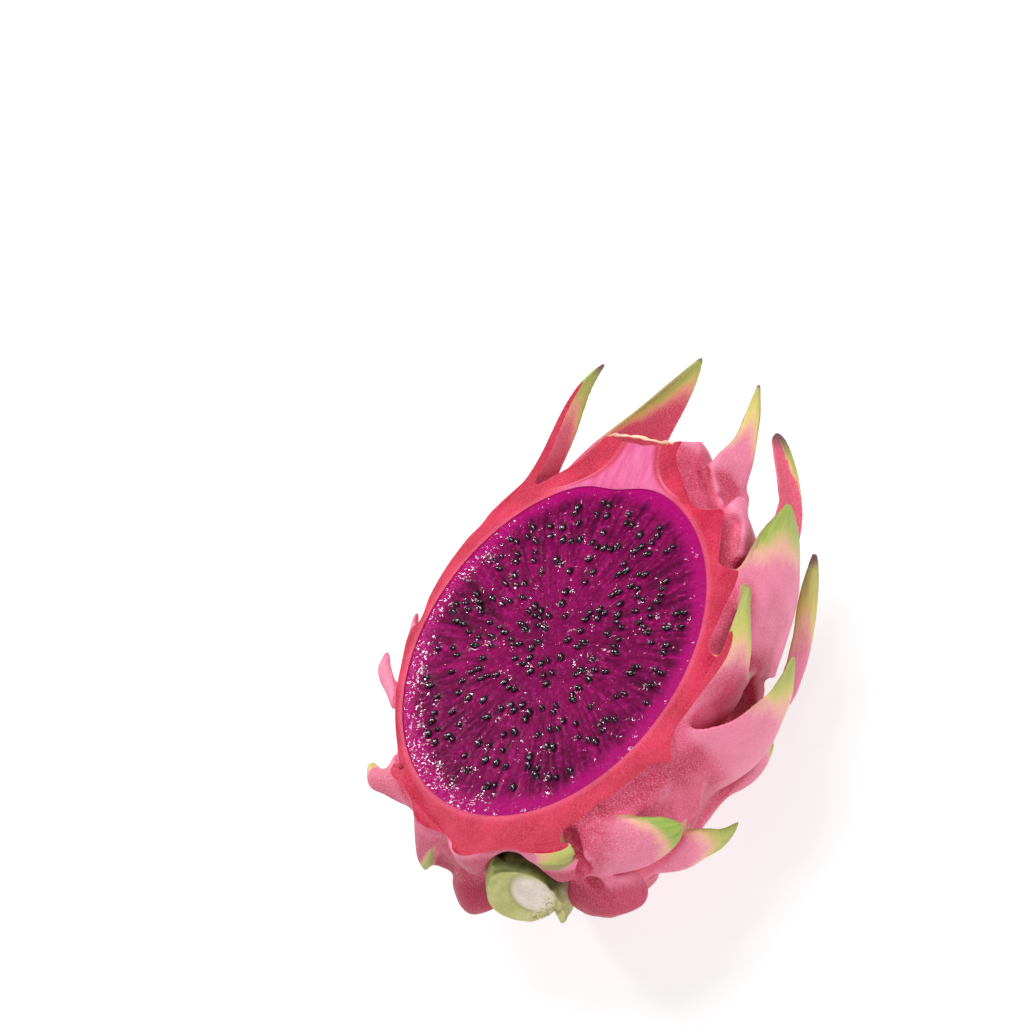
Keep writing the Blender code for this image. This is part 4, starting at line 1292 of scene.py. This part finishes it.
rays = place.node("ShaderNodeCombineXYZ", {}, {0: spoke_x * 14.0, 1: spoke_y * 14.0, 2: reach * 2.2})
fibres = place.node(
    "ShaderNodeTexNoise", {},
    {"Vector": rays, "Scale": 1.6, "Detail": 3.0, "Roughness": 0.6, "Distortion": 0.4},
)
clouds = place.noise(16.0, 3.0)
pulp = place.noise(1.1, 3.0, 0.65)
near = held(place, "seed_near")
mottle = place.noise(3.2, 3.0, 0.6)
body = (fibres - 0.5) * reach.step(0.1, 0.6) * 0.8 + clouds * 0.4 + (mottle - 0.5) * 0.35 + 0.3
colour = body.step(0.25, 0.75).blend(tone(68, 0, 40), tone(138, 2, 84))
colour = ((near + (pulp - 0.5) * 0.5).step(0.25, 1.0) * 0.8).blend(colour, tone(44, 2, 34))
colour = ((pulp + fibres * 0.4).step(0.72, 0.9) * 0.35).blend(colour, tone(196, 30, 140))
rim = (reach + (fibres - 0.5) * 0.06 + (clouds - 0.5) * 0.06).step(0.86, 0.96)
colour = rim.blend(colour, tone(160, 0, 100))
colour = (reach.step(0.985, 1.0) * 0.2).blend(colour, tone(206, 50, 140))
near_left = (off_x * -1.0 - off_y * 0.35).step(0.0, 0.7)
juice = (reach.step(0.75, 1.0) * near_left + (clouds - 0.5) * 0.8).step(0.15, 0.6)
plug(
    shader, Base_Color=colour, Roughness=0.32 + (pulp - 0.5) * 0.3,
    Normal=place.bump(pulp * (0.4 + rim * 0.6) + fibres * reach.step(0.05, 0.4) * 0.2, 0.25),
)

# Juice lies on the pulp in drops, most of them round the seeds and at the near left of the rim
drops = place.noise(1.8, 3.0, 0.6) + near * 0.1 + juice * 0.14
wet = drops.step(0.63, 0.66)
film = flesh_material.node_tree.nodes.new("ShaderNodeBsdfPrincipled")
film.inputs["IOR"].default_value = 1.55
film.inputs["Roughness"].default_value = 0.06
plug(film, Base_Color=colour, Normal=place.bump(place.noise(1.1, 1.0, 0.4), 0.55))
mixed = flesh_material.node_tree.nodes.new("ShaderNodeMixShader")
output = flesh_material.node_tree.nodes["Material Output"]
for start, end in (
    (wet.socket, mixed.inputs[0]), (shader.outputs[0], mixed.inputs[1]),
    (film.outputs[0], mixed.inputs[2]), (mixed.outputs[0], output.inputs["Surface"]),
):
    flesh_material.node_tree.links.new(start, end)
flesh.data.materials.append(flesh_material)
flesh.data.set_sharp_from_angle(angle=SHARP_ANGLE)
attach(flesh, "root")
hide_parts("flesh")

# Seeds: small hard black drops, shiny with juice. They have grown in the flesh, alone and in
# clumps, and lie half sunk in its cut face.
SEED_AROUND = 12

# A seed's outline: place along it as a share of its length, and share of its width
SEED_PROFILE = (
    (-0.46, 0.42), (-0.36, 0.74), (-0.18, 0.97), (0.02, 1.0), (0.22, 0.82), (0.38, 0.5),
    (0.47, 0.22),
)
SEED_HEIGHT = 0.95
SEED_LIFT = 0.15
SEED_SIZES = (0.58, 1.12)
SEED_TIP = 0.2

draw = np.random.default_rng(SEED_RANDOM)
angle = np.arange(SEED_AROUND) * 2 * np.pi / SEED_AROUND
seed_points, seed_faces, start = [], [], 0
for spot, heading in zip(seed_spots, seed_headings):
    size = draw.uniform(*SEED_SIZES)
    tip = draw.normal(0, SEED_TIP)
    along = np.array([np.cos(heading) * np.cos(tip), np.sin(heading) * np.cos(tip), np.sin(tip)])
    side = np.array([-np.sin(heading), np.cos(heading), 0])
    up = np.cross(along, side)
    seat = np.array([spot[0], spot[1], CUT_HEIGHT + SEED_LIFT])
    across = np.outer(np.cos(angle), side) * SEED_WIDTH / 2
    across = across + np.outer(np.sin(angle), up) * SEED_HEIGHT / 2
    rings = [
        seat + size * (SEED_LENGTH * share * along + width * across) for share, width in SEED_PROFILE
    ]
    points, triangles = closed_skin(rings)
    points[-2:] = seat + size * SEED_LENGTH * np.outer([-0.5, 0.5], along)
    seed_points.append(points)
    seed_faces.append(outward(points - seat, triangles) + start)
    start += len(points)
seeds = new_mesh("seeds", np.vstack(seed_points), np.vstack(seed_faces))
seed_material, shader, place = new_material("black_seed", IOR=1.7, Roughness=0.05)
colour = place.noise(0.8).step(0.35, 0.7).blend(tone(1, 0, 2), tone(8, 3, 12))
plug(shader, Base_Color=colour, Normal=place.bump(place.noise(0.7), 0.1))
seeds.data.materials.append(seed_material)
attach(seeds, "root")

# Stem: a stub broken off at a slant, a green sleeve round a cream core with a crumbly lower edge.
# Sheets of the sleeve hang at its right, at its left and at its top. It sits in the rind's end.
STEM_CELL = 0.28
STEM_ROOT = np.array([5.9, -48.3, 39.2])
STEM_FACE = np.array([8.5, -59.6, 41.0])
STEM_FACE_LOOKS = unit(np.array([0.28, -0.93, 0.25]))
CORE_OFFSET = (3.2, 0.3)
CORE_TALL = 1.25
STEM_AROUND = 72

# The stub's outline: share of the way from root to face, and radius, first up its side and then
# in over its broken end
STEM_SIDE = ((0.0, 6.0), (0.3, 7.2), (0.62, 8.0), (0.9, 8.3), (0.98, 8.2), (1.0, 7.9))
STEM_END = ((0.985, 7.3), (0.97, 6.3), (0.97, 5.4), (0.995, 4.9), (1.01, 3.0), (1.015, 1.0))

# The sheets of the sleeve: root, tip, where it looks, half width, bulge and thickness
STEM_SHEETS = (
    ((16.0, -50.5, 39.5), (16.8, -61.2, 34.2), (0.5, -0.5, 0.7), 3.4, 1.0, 1.3),
    ((5.5, -56.5, 49.0), (4.2, -58.0, 45.5), (0.2, -0.7, 0.6), 1.6, 0.6, 0.9),
    ((5.2, -55.0, 49.2), (0.4, -60.2, 40.0), (-0.5, -0.8, 0.3), 2.2, 1.6, 1.2),
)

# Lumps of the whole stub, crumbs of its lower edge, and how softly its parts join
STEM_LUMP_SIZE = 3.0
STEM_LUMP_HEIGHT = 0.12
STEM_LUMP_RANDOM = 4
CRUMB_SIZE = 0.9
CRUMB_HEIGHT = 0.35
CRUMB_RANDOM = 8
STEM_BLEND = 0.8
STEM_REACH = 3.0

face_right = unit(np.cross([0, 0, 1], STEM_FACE_LOOKS))
face_up = np.cross(STEM_FACE_LOOKS, face_right)
angle = np.arange(STEM_AROUND) * 2 * np.pi / STEM_AROUND
stem_rings = []
for share, radius in STEM_SIDE + STEM_END:
    wobble = 1 + 0.03 * np.cos(3 * angle + 1) + 0.02 * np.cos(5 * angle + 2.5)
    inward = np.clip((7.5 - radius) / 2.5, 0, 1) * (share > 0.9)
    centre = STEM_ROOT + share * (STEM_FACE - STEM_ROOT)
    centre = centre + inward * (CORE_OFFSET[0] * face_right + CORE_OFFSET[1] * face_up)
    ring = np.outer(np.cos(angle), face_right) + np.outer(np.sin(angle), face_up)
    stem_rings.append(centre + radius * wobble[:, None] * ring)


def sheet(root, tip, looks, half_width, bulge, thick):
    """A thin pointed sheet from a root to a tip that curves towards where it looks."""
    root, tip, looks = np.array(root), np.array(tip), unit(np.array(looks))
    along = unit(tip - root)
    side = unit(np.cross(along, looks))
    u = np.linspace(-1, 1, BRACT_ACROSS + 1)
    rings = []
    for share in np.linspace(0, 1, BRACT_STEPS + 1):
        middle = root + share * (tip - root) + bulge * np.sin(np.pi * share) * looks
        width = half_width * (1 - share**2.2) + 0.3
        rows = middle + np.outer(u * width, side) - np.outer(0.12 * width * u**2, looks)
        half = np.outer(0.5 * thick * (1 - 0.6 * u**2), looks)
        rings.append(np.vstack([rows + half, (rows - half)[::-1]]))
    return np.stack(rings)


stem_parts = [np.array(stem_rings)] + [sheet(*sizes) for sizes in STEM_SHEETS]
stem_low = np.min([part.reshape(-1, 3).min(0) for part in stem_parts], axis=0) - STEM_REACH
stem_high = np.max([part.reshape(-1, 3).max(0) for part in stem_parts], axis=0) + STEM_REACH
stem_from = np.floor(stem_low / STEM_CELL).astype(int)
stem_shape = tuple(np.ceil((stem_high - stem_low) / STEM_CELL).astype(int))
stem_field = np.full(stem_shape, STEM_CELL * BAND_CELLS, np.float32)
for part in stem_parts:
    part_field = distance_block(*closed_skin(part), stem_from, stem_shape, STEM_CELL)
    stem_field = soft_least(stem_field, part_field, STEM_BLEND)
off_face = cell_places(stem_from, stem_shape, STEM_CELL) - STEM_FACE
right_of, over = off_face @ face_right, off_face @ face_up
crumbly = smooth_step(np.hypot(right_of, over), 4.5, 6.5) * smooth_step(right_of - over, 3.0, 6.0)
crumbly = crumbly * smooth_step(off_face @ STEM_FACE_LOOKS, -3.0, -1.0)
stem_lumps = lumps(stem_shape, STEM_LUMP_SIZE, STEM_LUMP_RANDOM, STEM_CELL)
stem_crumbs = lumps(stem_shape, CRUMB_SIZE, CRUMB_RANDOM, STEM_CELL)
stem_field += STEM_LUMP_HEIGHT * stem_lumps
stem_field += CRUMB_HEIGHT * crumbly * stem_crumbs
stem = field_mesh("stem_stub", stem_field, stem_from, STEM_CELL)
off_face = points_of(stem) - STEM_FACE
right_of, over = off_face @ face_right, off_face @ face_up
ahead = off_face @ STEM_FACE_LOOKS
on_face = smooth_step(normals_of(stem) @ STEM_FACE_LOOKS, 0.5, 0.85) * smooth_step(ahead, -2.0, -1.0)
give(stem, "on_face", on_face)
give(stem, "off_core", np.hypot(right_of - CORE_OFFSET[0], (over - CORE_OFFSET[1]) / CORE_TALL))
crumbs = smooth_step(right_of - over, 3.0, 6.0) * smooth_step(-over, 0.0, 1.5)
crumbs = crumbs * (1 - smooth_step(right_of, 6.0, 7.5))
give(stem, "crumbly", smooth_step(np.hypot(right_of, over), 4.5, 6.0) * crumbs)
give(stem, "rightward", right_of)
stem_material, shader, place = new_material(
    "stem_green", IOR=1.4,
    Subsurface_Weight=0.1, Subsurface_Radius=(0.8, 0.8, 0.3), Subsurface_Scale=1.5 * MM,
)
on_face, off_core, rightward = (held(place, name) for name in ("on_face", "off_core", "rightward"))
crust = held(place, "crumbly") * on_face
grain = place.noise(0.6, 3.0, 0.65)
clouds = place.noise(4.0, 3.0)
colour = clouds.step(0.3, 0.7).blend(tone(74, 84, 40), tone(122, 132, 70))
colour = (rightward + (clouds - 0.5) * 3.0).step(7.5, 10.5).blend(colour, tone(186, 176, 138))
colour = (rightward * -1.0 + (clouds - 0.5) * 3.0).step(2.5, 4.5).blend(colour, tone(168, 172, 98))
face = (clouds * 0.7 + grain * 0.4).step(0.3, 0.8).blend(tone(168, 170, 92), tone(206, 204, 142))
core = (grain * 0.6 + clouds * 0.5).step(0.3, 0.8).blend(tone(216, 196, 178), tone(238, 230, 220))
face = (off_core + (clouds - 0.5) * 2.0 + (grain - 0.5) * 1.2).step(3.6, 5.6).blend(core, face)
face = ((off_core + (grain - 0.5)).bell(5.2, 0.8) * 0.4).blend(face, tone(150, 140, 90))
face = (on_face.bell(0.5, 0.5) * 0.6).blend(face, tone(146, 116, 76))
face = (crust * grain.step(0.35, 0.7)).blend(face, tone(224, 208, 160))
face = (crust * (1.0 - grain.step(0.3, 0.48))).blend(face, tone(120, 92, 62))
colour = on_face.blend(colour, face)
plug(shader, Base_Color=colour, Roughness=0.6 + (grain - 0.5) * 0.3, Normal=place.bump(grain + clouds, 0.15))
stem.data.materials.append(stem_material)
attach(stem, "root")
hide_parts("stem")
